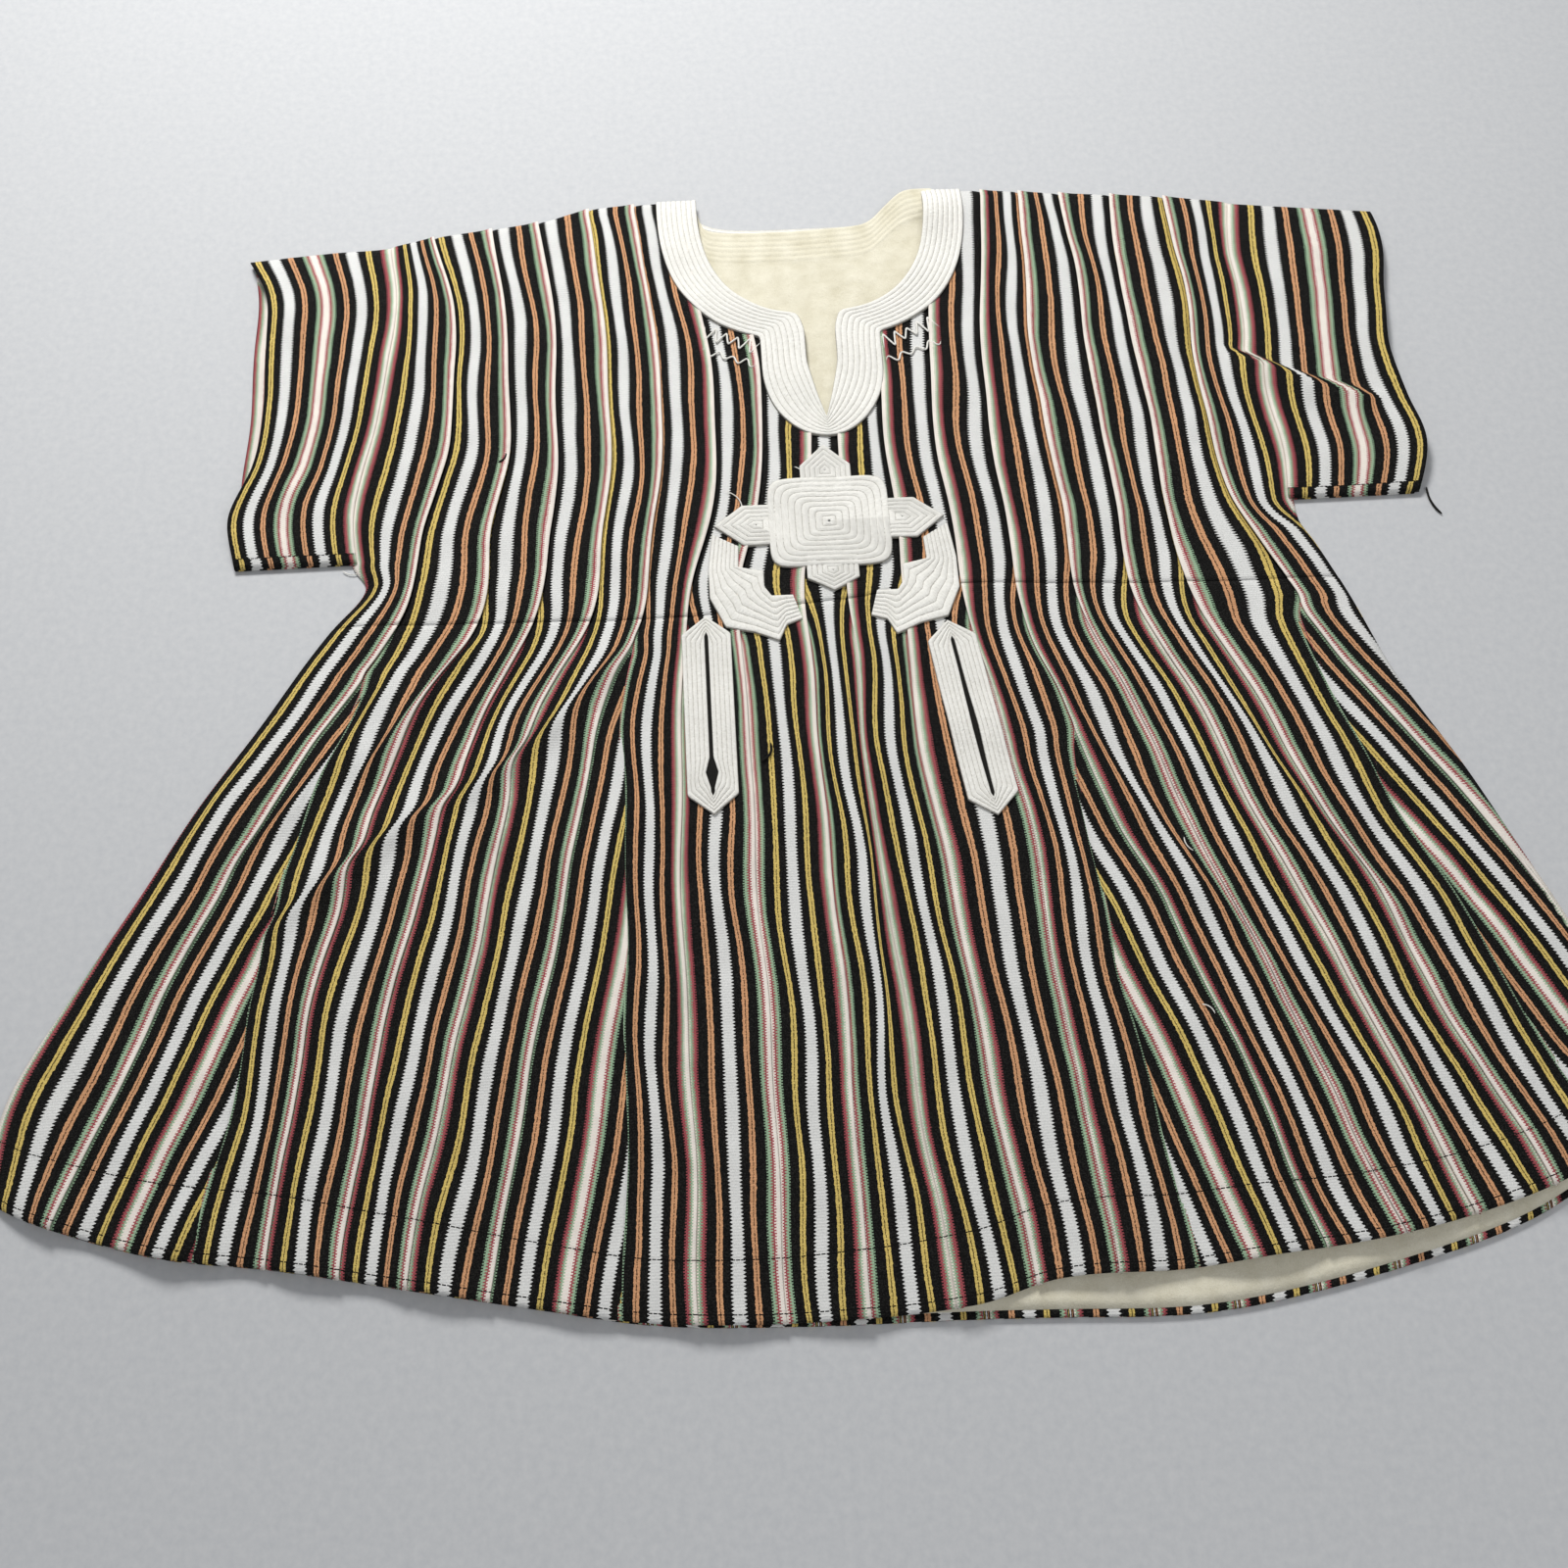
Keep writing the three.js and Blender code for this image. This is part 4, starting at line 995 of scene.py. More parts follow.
def gore_patches(name, layer, height):
    """A gore as a grid from its crest edge to its cut edge. The strip coordinate is the distance from
    the crest edge, so the stripes stay parallel to it."""
    gore = GORES[name]
    left, right = gore_edges(name)
    crest, cut = (left, right) if gore["crest"] == "left" else (right, left)
    hand = 1 if gore["crest"] == "left" else -1
    top = gore["edges"][0][0]
    share = np.linspace(0, 1, GORE_COLUMN_COUNT)
    tuck = hand * GORE_TUCK
    foot = float(hem_at[layer](np.array([crest(HEM_CORNER), cut(HEM_CORNER)]).mean()))
    x, y = settle(lambda y: np.minimum(lerp(crest(y) - tuck, cut(y) + tuck, share), right_at(y) - SIDE_GAP),
                  (top, foot), GORE_ROWS[:, None], len(share), lambda x: top, hem_at[layer])
    lean = np.abs(np.gradient(crest(y[:, 0]), y[:, 0]))[:, None]
    across = GORE_HIDDEN + np.abs(x - crest(y)) / np.hypot(1, lean) * np.sign((x - crest(y)) * hand)
    dip = -GORE_DIP * sum(np.exp(-np.abs(x - edge(y)) / DIP_REACH) for edge in (crest, cut))
    stitches = NO_STITCHES
    if layer == "front":
        above = y - hem_at[layer](x)
        dip = dip - HEM_ROLL * bell(above, HEM_EDGE)
        stitches = hem_stitches(x, above)
        x, y = drawn_together(x, y)
    else:
        dip = BACK_DIP * dip
    return [{"points": to_frame(x, y, height(x, y) + dip), "strip": uv_pair(across, y),
             "seam": uv_pair(x, stitches), "crests": (1, 0), "threads": (0, 1)}]


def front_top(x, y):
    return front_underside(x, y) + CLOTH


front_gores = {name: make_sheet(f"front_gore_{name}_cloth", gore_patches(name, "front", front_top),
                                STRIP_CLOTH) for name in GORES}

# %% [markdown]
# ## Sleeves
#
# A sleeve is one strip folded round into a flat tube, so its stripes run round the arm. The grid goes from
# the armhole to the cuff one way and round the tube the other way.

# %% Sleeves
SLEEVE_ACROSS, SLEEVE_ROUND = 50, 150
CUFF_END = 43.0       # how far into its outer half strip a sleeve reaches on top, in mm
SELVEDGE = 7.0        # how far the lower layer reaches past that half strip
TUBE_EDGE = 1.6       # height of the tube's folded edges, and the distance over which they round off
LOWER_START = 700.0   # the lower layer's weft starts elsewhere
ARMHOLE_LAP = 0.3     # how far a sleeve starts inside the armhole
TURNED_EDGE = {"share": 0.027, "left": 2.0, "right": 3.0}  # its depth, and how far its stripes jump
JUMP_STEP = 0.0003    # half the share of the tube over which they jump
SELVEDGE_TURN = 0.1   # the share of the lower layer over which its selvedge comes out at each fold


def sleeve(side):
    """Both layers of a sleeve: share s runs from the armhole to the cuff and r once round the tube,
    over the top layer from the underarm to the shoulder and back under the lower one. Below the line of
    stitches the edge is turned up, so the stripes jump there."""
    hand = -1 if side == "left" else 1
    armhole = left_at if side == "left" else right_at
    lower = UNDERARM[side]
    s = np.linspace(0, 1, SLEEVE_ACROSS)[:, None]
    jump = TURNED_EDGE["share"] / 2 + np.array([-JUMP_STEP, JUMP_STEP])
    r = np.sort(np.append(np.linspace(0, 1, SLEEVE_ROUND), jump))[None, :]
    top = np.clip(r / 0.5, 0, 1)
    bottom = np.clip((r - 0.5) / 0.5, 0, 1)
    is_top = r <= 0.5
    along = np.where(is_top, top, 1 - bottom)
    start = armhole(lerp(lower, SLEEVE_TOP, along)) - hand * ARMHOLE_LAP
    end = np.where(is_top, cuff_at[f"{side}_front"](along), cuff_at[f"{side}_back"](along))
    x = lerp(start, end, s)
    y = lerp(lower, shoulder_at(x), along)
    high = front_underside(x, y) + CLOTH
    edge = np.minimum(y - lower, shoulder_at(x) - y)
    round_over = 0.5 * np.exp(-edge / TUBE_EDGE)
    z = lerp(np.where(is_top, high, 0.0), TUBE_EDGE, round_over)
    run = np.abs(x - end)
    # A sleeve strip: its inner half ends in the armhole crest. Its outer half ends in the cuff's edge,
    # which is turned in on top, while the lower layer shows its red and cream selvedge.
    under = smoothstep(bottom, 0, SELVEDGE_TURN) * smoothstep(1 - bottom, 0, SELVEDGE_TURN) * ~is_top
    across = lerp(STRIP + CUFF_END, 2 * STRIP + SELVEDGE, under) * (1 - run / np.abs(start - end))
    across = across + TURNED_EDGE[side] * (is_top & (along < TURNED_EDGE["share"]))
    outer = ((across > STRIP) & (across < 2 * STRIP))[..., None]
    patch = {"strip": uv_pair(across, y + np.where(is_top, 0, LOWER_START)),
             "seam": uv_pair(x, y - lower - CUFF_STITCH),
             "crests": np.where(outer, (1, 1), (0, 1)), "threads": np.where(outer, (0, 1), (1, 0))}
    patch["points"] = to_frame(*drawn_together(x, y), z)
    return patch if hand > 0 else {key: values[::-1] for key, values in patch.items()}


sleeves = {side: make_sheet(f"{side}_sleeve_cloth", [sleeve(side)], STRIP_CLOTH, side=0)
           for side in ("left", "right")}

# %% [markdown]
# ## Back panels and lining
#
# The back lies flat on the floor, so it is flat strips with the same seams. The cream lining covers its
# inside and shows in the neck and below the front hem.

# %% Back and lining
LINING_INSET = 16.0
HEM_FOLD = {"inset": 30, "across": (0.0, 0.3, 2.5, 5.5, 8.0), "height": (1.6, 2.7, 3.1, 3.0, 2.6)}
FOLD_LAP = 3.0  # how far the lining runs under the hem's fold
BACK_COLUMNS = 6
BACK_ROWS = {"bodice": 60, "skirt": 40}
BACK_SEAT = 14.0  # how far the back's cut stays outside its scoop
BACK_NECK = {"half_width": 97.0, "depth": 31.0, "band": 34.0, "power": 4.0}
LINING_COLUMNS = ((0, 0.33, 36), (0.34, 0.66, 90), (0.67, 1, 36))  # closer at the neck
LINING_ROWS = ((0, 0.05, 46), (0.055, 1, 110))                     # and here too
ABOVE_WAIST = 0.45  # the share of the lining's rows that lie above the waist


def flat_back(x, y):
    return 0.0 * x


def back_strip(panel, index):
    """One half strip of the back: flat, with its outer face down on the floor."""
    left, right = strip_edges(index)
    share = np.linspace(0, 1, BACK_COLUMNS)
    rows = np.linspace(0, 1, BACK_ROWS[panel])
    top_at, foot_at = (shoulder_at, waist_at) if panel == "bodice" else (waist_at, hem_at["back"])
    x, y = settle(lambda y: lerp(left(y), right(y), share), STARTS[panel], rows[:, None], BACK_COLUMNS,
                  top_at, foot_at)
    hide_left, hide_right = hidden_part(index)(y)
    strip = uv_pair(lerp(hide_left, STRIP - hide_right, share), y)
    return {"points": to_frame(x, y, flat_back(x, y)), "x": x, "y": y, "strip": strip, **warp_flags(index)}


def inside_back_neck(x, y, grow):
    """Inside the back's shallow scoop: a superellipse of power 4."""
    size = BACK_NECK
    a, b = size["half_width"] + grow, size["depth"] + grow
    p = size["power"]
    return (np.abs((x - NECK["x"]) / a) ** p + np.abs((SHOULDER_LEVEL - y) / b) ** p < 1) | (
        (np.abs(x - NECK["x"]) < a) & (y > SHOULDER_LEVEL))


def back_bodice():
    patches = []
    for index in range(len(HALF_STRIPS)):
        patch = back_strip("bodice", index)
        patch["keep"] = ~inside_back_neck(face_centres(patch["x"]), face_centres(patch["y"]), BACK_SEAT)
        patches.append(patch)
    return make_sheet("back_bodice_cloth", patches, STRIP_CLOTH, thickness=CLOTH * MM, side=-1)


def back_skirt():
    patches = [back_strip("skirt", index) for index in range(len(HALF_STRIPS))]
    return make_sheet("back_skirt_cloth", patches, STRIP_CLOTH, thickness=CLOTH * MM, side=-1)


def back_hem_fold():
    """The turned-up back hem: a narrow band along the hem that lies on the lining."""
    ends = left_at(HEM_CORNER) + HEM_FOLD["inset"], right_at(HEM_CORNER) - HEM_FOLD["inset"]
    depth, height = (np.array(HEM_FOLD[k])[:, None] for k in ("across", "height"))
    x = np.linspace(*ends, 220)[None, :] + 0 * depth
    y = hem_at["back"](x) + depth
    return [{"points": to_frame(x, y, height + 0 * x), "strip": uv_pair(x % STRIP, y),
             "crests": (0, 1), "threads": (0, 1)}]


# Edge of the lining inside the neck. On the right the collar stands up in a loop, so the edge swings
# up to the shoulder there.
NECK_EDGE = {
    "x": [-112, -97, -93, -85, -58, -4, 38, 50, 64, 78, 95, 112],
    "y": [484, 470, 455, 449, 446, 446, 449, 454, 468, 479, 482, 484],
}
STITCH_ROWS = {"spacing": 5.5, "count": 6, "height": 0.5, "power": 0.7, "fade": 3}
LIP = {"x": 84, "y": 482, "rise": 4.0, "width": 20, "depth": 18}  # where the edge enters the loop
RIM = {"drop": 1.2, "reach": 1.2}
WRINKLE = {"height": 0.5, "length": 9, "bend": 0.6, "bend_length": 13, "y": 370, "width": 150, "depth": 70}
NECK_BLEND = 6
neck_edge_at = curve(NECK_EDGE, "x", "y")


def lining():
    """The lining: from the neck and shoulders to the hem fold, short of every closed edge. It carries the
    rows of stitching of the back band as soft ridges, lifts into the collar's loop, and wrinkles a little."""
    u = np.concatenate([np.linspace(*part) for part in LINING_COLUMNS])
    v = np.concatenate([np.linspace(*part) for part in LINING_ROWS])[:, None]
    level = np.where(v < ABOVE_WAIST, lerp(BODICE_TOP, WAIST_LEVEL, v / ABOVE_WAIST),
                     lerp(WAIST_LEVEL, HEM_CORNER, (v - ABOVE_WAIST) / (1 - ABOVE_WAIST)))
    x = lerp(left_at(level) + LINING_INSET, right_at(level) - LINING_INSET, u)
    at_neck = smoothstep(NECK_EDGE["x"][-1] - np.abs(x - NECK["x"]), 0, NECK_BLEND)
    top = lerp(shoulder_at(x) - LINING_INSET, neck_edge_at(x), at_neck)
    y = lerp(top, hem_at["back"](x) + HEM_FOLD["across"][-1] - FOLD_LAP, v)
    lift = LOOP["lining"] * bell(x - LOOP["x"], LOOP["spread"]) * bell(y - LOOP["y"], LOOP["lining_spread"])
    lift = lift + LIP["rise"] * bell(x - LIP["x"], LIP["width"]) * bell(y - LIP["y"], LIP["depth"])
    below = top - y
    spacing, fade = STITCH_ROWS["spacing"], STITCH_ROWS["fade"]
    last = STITCH_ROWS["count"] * spacing
    rows = STITCH_ROWS["height"] * np.abs(np.sin(np.pi * below / spacing)) ** STITCH_ROWS["power"]
    rows = rows * (1 - smoothstep(below, last - fade, last + fade)) * at_neck
    rim = -RIM["drop"] * np.exp(-below / RIM["reach"]) * at_neck
    bend = WRINKLE["bend"] * np.sin(y / WRINKLE["bend_length"])
    soft = WRINKLE["height"] * np.sin(x / WRINKLE["length"] + bend)
    soft = soft * bell(x, WRINKLE["width"]) * bell(y - WRINKLE["y"], WRINKLE["depth"])
    z = CLOTH + SEAM_GAP + LINING + lift + soft + rows + rim
    return [{"points": to_frame(x, y, z), "strip": uv_pair(x, y)}]


back_bodice_cloth = back_bodice()
back_skirt_cloth = back_skirt()
hem_fold = make_sheet("back_hem_fold", back_hem_fold(), STRIP_CLOTH, thickness=0.4 * MM)
lining_piece = make_sheet("back_lining_cloth", lining(), LINING_CLOTH, thickness=0.8 * MM)
back_gores = {name: make_sheet(f"back_gore_{name}_cloth", gore_patches(name, "back", flat_back),
                               STRIP_CLOTH, thickness=CLOTH * MM, side=-1) for name in GORES}

# %% [markdown]
# ## Embroidery
#
# Machine embroidery packs row beside row. Each piece here is a band between two outlines or a plate shrunk
# towards its middle, and its height is a row of round ridges, one per stitch row.

# %% Stitch rows
PLATE = 1.8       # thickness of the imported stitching
ROW_HEIGHT = 0.75  # height of a row's ridge
PER_ROW = 6       # grid steps across a row
EDGE_DROP = 2.6   # how far an edge turns down to the cloth
EDGE_SOFT = 0.35  # the share of that drop that rounds the edge of a band
PLATE_SOFT = 0.9  # how far the rounded edge of a plate turns down
# A pocket's slit is a painted shadow: a dark sheet where the cut shows only shade.
SLIT_LAP = 1.0    # how far a pocket's dark slit runs under its welt
BACK_BAND = {"underside": 0.7, "ridge_share": 0.9, "thickness": 1.2}
ROWS = {"neck": 8, "hook": 7, "welt": 5, "lobe": 5, "block": 9}


def ridges(share, rows):
    """Round ridges across a band: |sin(pi x rows x share)| to the power 0.6, so the valleys are sharp."""
    return ROW_HEIGHT * np.abs(np.sin(np.pi * rows * share)) ** 0.6


def band_patch(inner, outer, rows):
    """A stitched band between two outlines with matching points. Its two edges turn down to the cloth."""
    share = np.linspace(0, 1, rows * PER_ROW + 1)
    share = np.concatenate([[0, 0], share, [1, 1]])
    drop = np.zeros(len(share))
    drop[[0, 1, -2, -1]] = -EDGE_DROP, -EDGE_SOFT * EDGE_DROP, -EDGE_SOFT * EDGE_DROP, -EDGE_DROP
    points = inner[:, None] + (outer - inner)[:, None] * share[None, :, None]
    x, y = points[..., 0], points[..., 1]
    z = front_top(x, y) + PLATE + ridges(share, rows) + drop
    return {"points": to_frame(x, y, z), "strip": uv_pair(run_along(outer)[:, None], share * rows)}


def rounded(points, times):
    """The path with its corners softened: each point moves to (before + 2 x itself + after) / 4."""
    for _ in range(times):
        points = np.concatenate([points[:1], (points[:-2] + 2 * points[1:-1] + points[2:]) / 4, points[-1:]])
    return points


def stitched(name, patches):
    return make_sheet(name, patches, THREAD, thickness=0)


def neck_band():
    top, point, half_tongue = NECK["tongue_top"], NECK["tongue_point"], NECK["outer"]["slit"]
    angle = np.linspace(0, np.pi / 2, 40)
    tongue = np.stack([half_tongue * np.cos(angle), top - (top - point) * np.sin(angle)], axis=-1)
    tongue = np.concatenate([neck_bowl("outer", 80)[-1:], tongue])
    slit = np.stack([np.maximum(SLIT["half"], SLIT_TIP), SLIT["y"]], axis=-1)[::-1]
    slit = np.concatenate([[(NECK["inner"]["slit"], SHOULDER_LEVEL - NECK["inner"]["depth"])], slit])

    def half_neck(part, below, softer):
        """From the shoulder round the bowl and down to the point, with its corners softened."""
        return rounded(np.concatenate([resample(neck_bowl(part, 80), 90), resample(below, 60)[1:]]), softer)

    def whole(half):
        mirror = half[::-1] * (-1, 1)
        both = np.concatenate([half, mirror[1:]])
        both[:, 0] += NECK["x"]
        both[:, 1] = np.minimum(both[:, 1], shoulder_at(both[:, 0]))
        return both

    inner, outer = whole(half_neck("inner", slit, 10)), whole(half_neck("outer", tongue, 4))
    return stitched("neck_band_stitches", [band_patch(inner, outer, ROWS["neck"])])


neck_band_piece = neck_band()

# %% [markdown]
# The chest carries a rounded cross and a hook on each side below it, and each pocket a long welt that is
# slit down its middle. A lobe of the cross is drawn once, pointing up, and turned into place. A hook is
# drawn for the right and mirrored. Drawing each outline in its own plain position keeps its numbers easy
# to read.

# %% Chest cross, hooks and welts
CROSS = {"x": -6.0, "y": 154.0, "half_width": 47, "half_height": 40, "power": 7.0, "root": 30, "stand": 0.3}
LOBES = as_rows(("width", "shoulder", "tip", "turn"), (
    (40, 51, 70, 0), (36, 67, 89, 90), (40, 50, 61, 180), (36, 67, 89, -90),
))
HOOK_OUTER = [(91, -7), (95, -37), (95, -63), (84, -88), (63, -93), (44, -101), (38, -88), (26, -84)]
HOOK_INNER = [(71, -19), (72, -37), (53, -41), (53, -55), (48, -63), (32, -63)]
WELT = {"half": 18.5, "end": 80.0, "point": 15.0, "slit": 66.0, "slit_half": 1.3}
WELTS = {
    "left": {"x": -105.0, "y": -4.0, "lean": 0.0, "eye_y": -48, "eye_width": 9.0, "eye_length": 24},
    "right": {"x": 87.0, "y": -17.0, "lean": 7.5, "eye_y": -10, "eye_width": 4.4, "eye_length": 90},
}


def plate_patch(outline, centre, rows, extra=0.0):
    """A stitched plate: its outline shrunk towards a centre, with a ridge for each row."""
    outline = resample(np.concatenate([outline, outline[:1]]), 121)
    share = np.concatenate([[1, 1], np.linspace(1, 0.02, rows * PER_ROW + 1)])
    drop = np.zeros(len(share))
    drop[:2] = -EDGE_DROP - extra, -PLATE_SOFT
    centre = np.asarray(centre, float)
    points = centre + (outline - centre)[:, None] * share[None, :, None]
    x, y = points[..., 0], points[..., 1]
    z = front_top(x, y) + PLATE + extra + ridges(share, rows) + drop
    return {"points": to_frame(x, y, z), "strip": uv_pair(run_along(outline)[:, None] * share, share * rows)}


def turned(points, degrees, x, y):
    """The points turned about zero and then moved by (x, y)."""
    c, s = math.cos(math.radians(degrees)), math.sin(math.radians(degrees))
    return np.asarray(points, float) @ [[c, s], [-s, c]] + (x, y)


def superellipse(angle, width, height, power):
    """(width x cos^(2/p), height x sin^(2/p)) with the signs of cos and sin kept."""
    c, s = np.cos(angle), np.sin(angle)
    return np.stack([np.sign(c) * width * np.abs(c) ** (2 / power),
                     np.sign(s) * height * np.abs(s) ** (2 / power)], axis=-1)


def chest_cross():
    patches = []
    for lobe in LOBES:
        half, root, shoulder = lobe["width"] / 2, CROSS["root"], lobe["shoulder"]
        outline = turned([(-half, root), (half, root), (half, shoulder), (0, lobe["tip"]), (-half, shoulder)],
                         lobe["turn"], CROSS["x"], CROSS["y"])
        patches.append(plate_patch(outline, outline.mean(axis=0), ROWS["lobe"]))
    middle = CROSS["x"], CROSS["y"]
    block = superellipse(np.linspace(0, 2 * np.pi, 80, endpoint=False),
                         CROSS["half_width"], CROSS["half_height"], CROSS["power"])
    patches.append(plate_patch(block + middle, middle, ROWS["block"], extra=CROSS["stand"]))
    return stitched("chest_cross_stitches", patches)


def chest_hook(side, hand):
    outer, inner = (resample(np.multiply(path, (hand, 1)) + (CROSS["x"], CROSS["y"]), 90)
                    for path in (HOOK_OUTER, HOOK_INNER))
    return stitched(f"chest_hook_{side}_stitches", [band_patch(inner, outer, ROWS["hook"])])


def slit_half(welt, y):
    """Half width of a pocket's slit: its plain half width, widened as a triangle at the eye."""
    eye = np.clip(1 - np.abs(y - welt["eye_y"]) / (welt["eye_length"] / 2), 0, 1)
    return WELT["slit_half"] + (welt["eye_width"] / 2 - WELT["slit_half"]) * eye


def pocket_welt(side):
    """A long hexagon of stitch rows round its slit."""
    welt, half, end = WELTS[side], WELT["half"], WELT["end"]
    shoulder = end - WELT["point"]
    outer = resample([(0, end), (-half, shoulder), (-half, -shoulder), (0, -end), (half, -shoulder),
                      (half, shoulder), (0, end)], 161)
    y = outer[:, 1] * WELT["slit"] / end
    gap = slit_half(welt, y) * np.clip((WELT["slit"] - np.abs(y)) / 3, 0, 1)
    inner = np.stack([np.sign(outer[:, 0]) * gap, y], axis=-1)
    place = (welt["lean"], welt["x"], welt["y"])
    return stitched(f"pocket_welt_{side}_stitches",
                    [band_patch(turned(inner, *place), turned(outer, *place), ROWS["welt"])])


def pocket_slit_shadows():
    """A painted shadow in the cut of each pocket: a narrow dark lens just above the cloth, a little wider
    than the gap that the stitching leaves, standing for the shade inside the slit."""
    patches = []
    for welt in WELTS.values():
        y = np.linspace(-1, 1, 60)[:, None] * (WELT["slit"] + SLIT_LAP)
        x = (slit_half(welt, y) + SLIT_LAP) * np.linspace(-1, 1, 4)
        placed = turned(np.stack([x, y + 0 * x], axis=-1), welt["lean"], welt["x"], welt["y"])
        x, y = placed[..., 0], placed[..., 1]
        patches.append({"points": to_frame(x, y, front_top(x, y) + RISE * 0.5 + 0.2)})
    return make_sheet("pocket_slit_shadows", patches, BLACK_THREAD, thickness=0)


cross_piece = chest_cross()
slit_shadows = pocket_slit_shadows()
hooks = {side: chest_hook(side, hand) for side, hand in (("left", -1), ("right", 1))}
welts = {side: pocket_welt(side) for side in WELTS}


def back_band():
    """The band round the back's scoop, flat on the floor."""
    def scoop(grow):
        size = BACK_NECK
        path = superellipse(np.linspace(0, np.pi, 120), size["half_width"] + grow, -size["depth"] - grow,
                            size["power"]) + (NECK["x"], SHOULDER_LEVEL)
        path[:, 1] = np.minimum(path[:, 1], shoulder_at(path[:, 0]))
        return path

    inner, outer = scoop(0.0), scoop(BACK_NECK["band"])
    rows = ROWS["neck"]
    share = np.linspace(0, 1, rows * PER_ROW + 1)
    points = inner[:, None] + (outer - inner)[:, None] * share[None, :, None]
    x, y = points[..., 0], points[..., 1]
    z = BACK_BAND["underside"] - ridges(share, rows) * BACK_BAND["ridge_share"] + 0 * x
    strip = uv_pair(run_along(outer)[:, None], share * rows)
    return make_sheet("neck_band_back_stitches", [{"points": to_frame(x, y, z), "strip": strip}],
                      THREAD, thickness=BACK_BAND["thickness"] * MM, side=-1)


back_band_piece = back_band()

# %% [markdown]
# ## Single threads
#
# Beside the neck's notch the embroiderer ran a few lines of plain stitching, and here and there a thread
# end was never trimmed. Each is a thin tube: a ring of points carried along a path, closed at both ends by
# letting the ring shrink.

# %% Stitched lines and thread ends
THREAD_SIDES = 6


def thread_patch(path, radius, height):
    """A tube along a path: path + radius x (cos a along the sideways direction, sin a upwards). The
    radius falls to almost nothing at both ends as (1 - |2t - 1|^10)."""
    path = np.asarray(path, float)
    t = np.linspace(-1, 1, len(path))
    along = np.gradient(path, axis=0)
    along = along / np.hypot(*along.T)[:, None]
    ring = -np.linspace(0, 2 * np.pi, THREAD_SIDES + 1)[None, :]
    size = (radius * (1.001 - np.abs(t) ** 10))[:, None]
    x = path[:, :1] - along[:, 1:] * size * np.cos(ring)
    y = path[:, 1:] + along[:, :1] * size * np.cos(ring)
    z = height(path[:, 0], path[:, 1])[:, None] + size * np.sin(ring)
    run = np.cumsum(np.hypot(*np.gradient(path, axis=0).T))[:, None] + 0 * x
    return {"points": to_frame(x, y, z), "strip": uv_pair(run, 0.5)}


def on_cloth(x, y):
    return front_top(x, y) + RISE * 0.5 + 0.3


# Two rows beside each side of the notch: from (x0, y0) to (x1, y1) with a number of teeth or waves.
NOTCH_ROWS = as_rows(("x0", "y0", "x1", "y1", "count", "height", "shape"), (
    (-97, 341, -52, 321, 5, 7.5, "zigzag"), (-98, 322, -55, 304, 4, 3.5, "wave"),
    (95, 339, 48, 321, 5, 7.5, "zigzag"), (97, 320, 51, 303, 4, 3.5, "wave"),
))


def notch_row(row, count=160):
    """A line with teeth, |2 (n t mod 1) - 1| x 2 - 1, or waves, sin(2 pi n t), across its direction."""
    t = np.linspace(0, 1, count)
    run = np.array([row["x1"] - row["x0"], row["y1"] - row["y0"]], float)
    side = np.array([-run[1], run[0]]) / np.hypot(*run)
    teeth = np.abs(((row["count"] * t) % 1.0) * 2 - 1) * 2 - 1
    swing = teeth if row["shape"] == "zigzag" else np.sin(2 * np.pi * row["count"] * t)
    swing = swing * row["height"] * (0.8 + 0.2 * np.sin(9 * t))
    path = np.array([row["x0"], row["y0"]]) + t[:, None] * run + swing[:, None] * side
    return rounded(path, 3)


# Untrimmed ends: from (x0, y0) to (x1, y1), bowed sideways, lying on the cloth or on the floor.
END_COLUMNS = ("x0", "y0", "x1", "y1", "bow", "place")
WHITE_ENDS = as_rows(END_COLUMNS, (
    (-382, 137, -366, 135, -3, "floor"), (-85, 186, -73, 165, 5, "cloth"), (219, -243, 227, -250, 2, "cloth"),
    (226, -122, 231, -133, -2, "cloth"), (-30, 205, -24, 193, 3, "cloth"),
))
BLACK_ENDS = as_rows(END_COLUMNS, (
    (466, 163, 473, 137, -3, "floor"), (-62, -30, -70, -44, 4, "cloth"), (-256, 232, -262, 224, 2, "cloth"),
))
THREAD_RADIUS = {"row": 0.75, "white_end": 0.45, "black_end": 0.9}


def thread_end(end, count=24):
    """A short arc: the straight line plus bow x 4t(1 - t) sideways."""
    t = np.linspace(0, 1, count)[:, None]
    a, b = np.array([end["x0"], end["y0"]], float), np.array([end["x1"], end["y1"]], float)
    side = np.array([-(b - a)[1], (b - a)[0]]) / np.hypot(*(b - a))
    return a + (b - a) * t + side * end["bow"] * 4 * t * (1 - t)


def on_floor(x, y):
    return 0.9 + 0.0 * x


def end_patches(ends, radius):
    return [thread_patch(thread_end(end), radius, on_cloth if end["place"] == "cloth" else on_floor)
            for end in ends]


white_lines = [thread_patch(notch_row(row), THREAD_RADIUS["row"], on_cloth) for row in NOTCH_ROWS]
white_lines += end_patches(WHITE_ENDS, THREAD_RADIUS["white_end"])
black_lines = end_patches(BLACK_ENDS, THREAD_RADIUS["black_end"])
white_threads = make_sheet("notch_stitching", white_lines, THREAD, thickness=0, side=0)
black_threads = make_sheet("black_thread_ends", black_lines, BLACK_THREAD, thickness=0, side=0)

# %% [markdown]
# ## Riding and replacing
#
# Every piece rides on the smock's one body and stands for the solids it dresses. A table lists the size
# each sheet of cloth was cut to.

# %% Frame calls
GORE_LAP = 6.0  # the seam allowances on both edges of a gore together


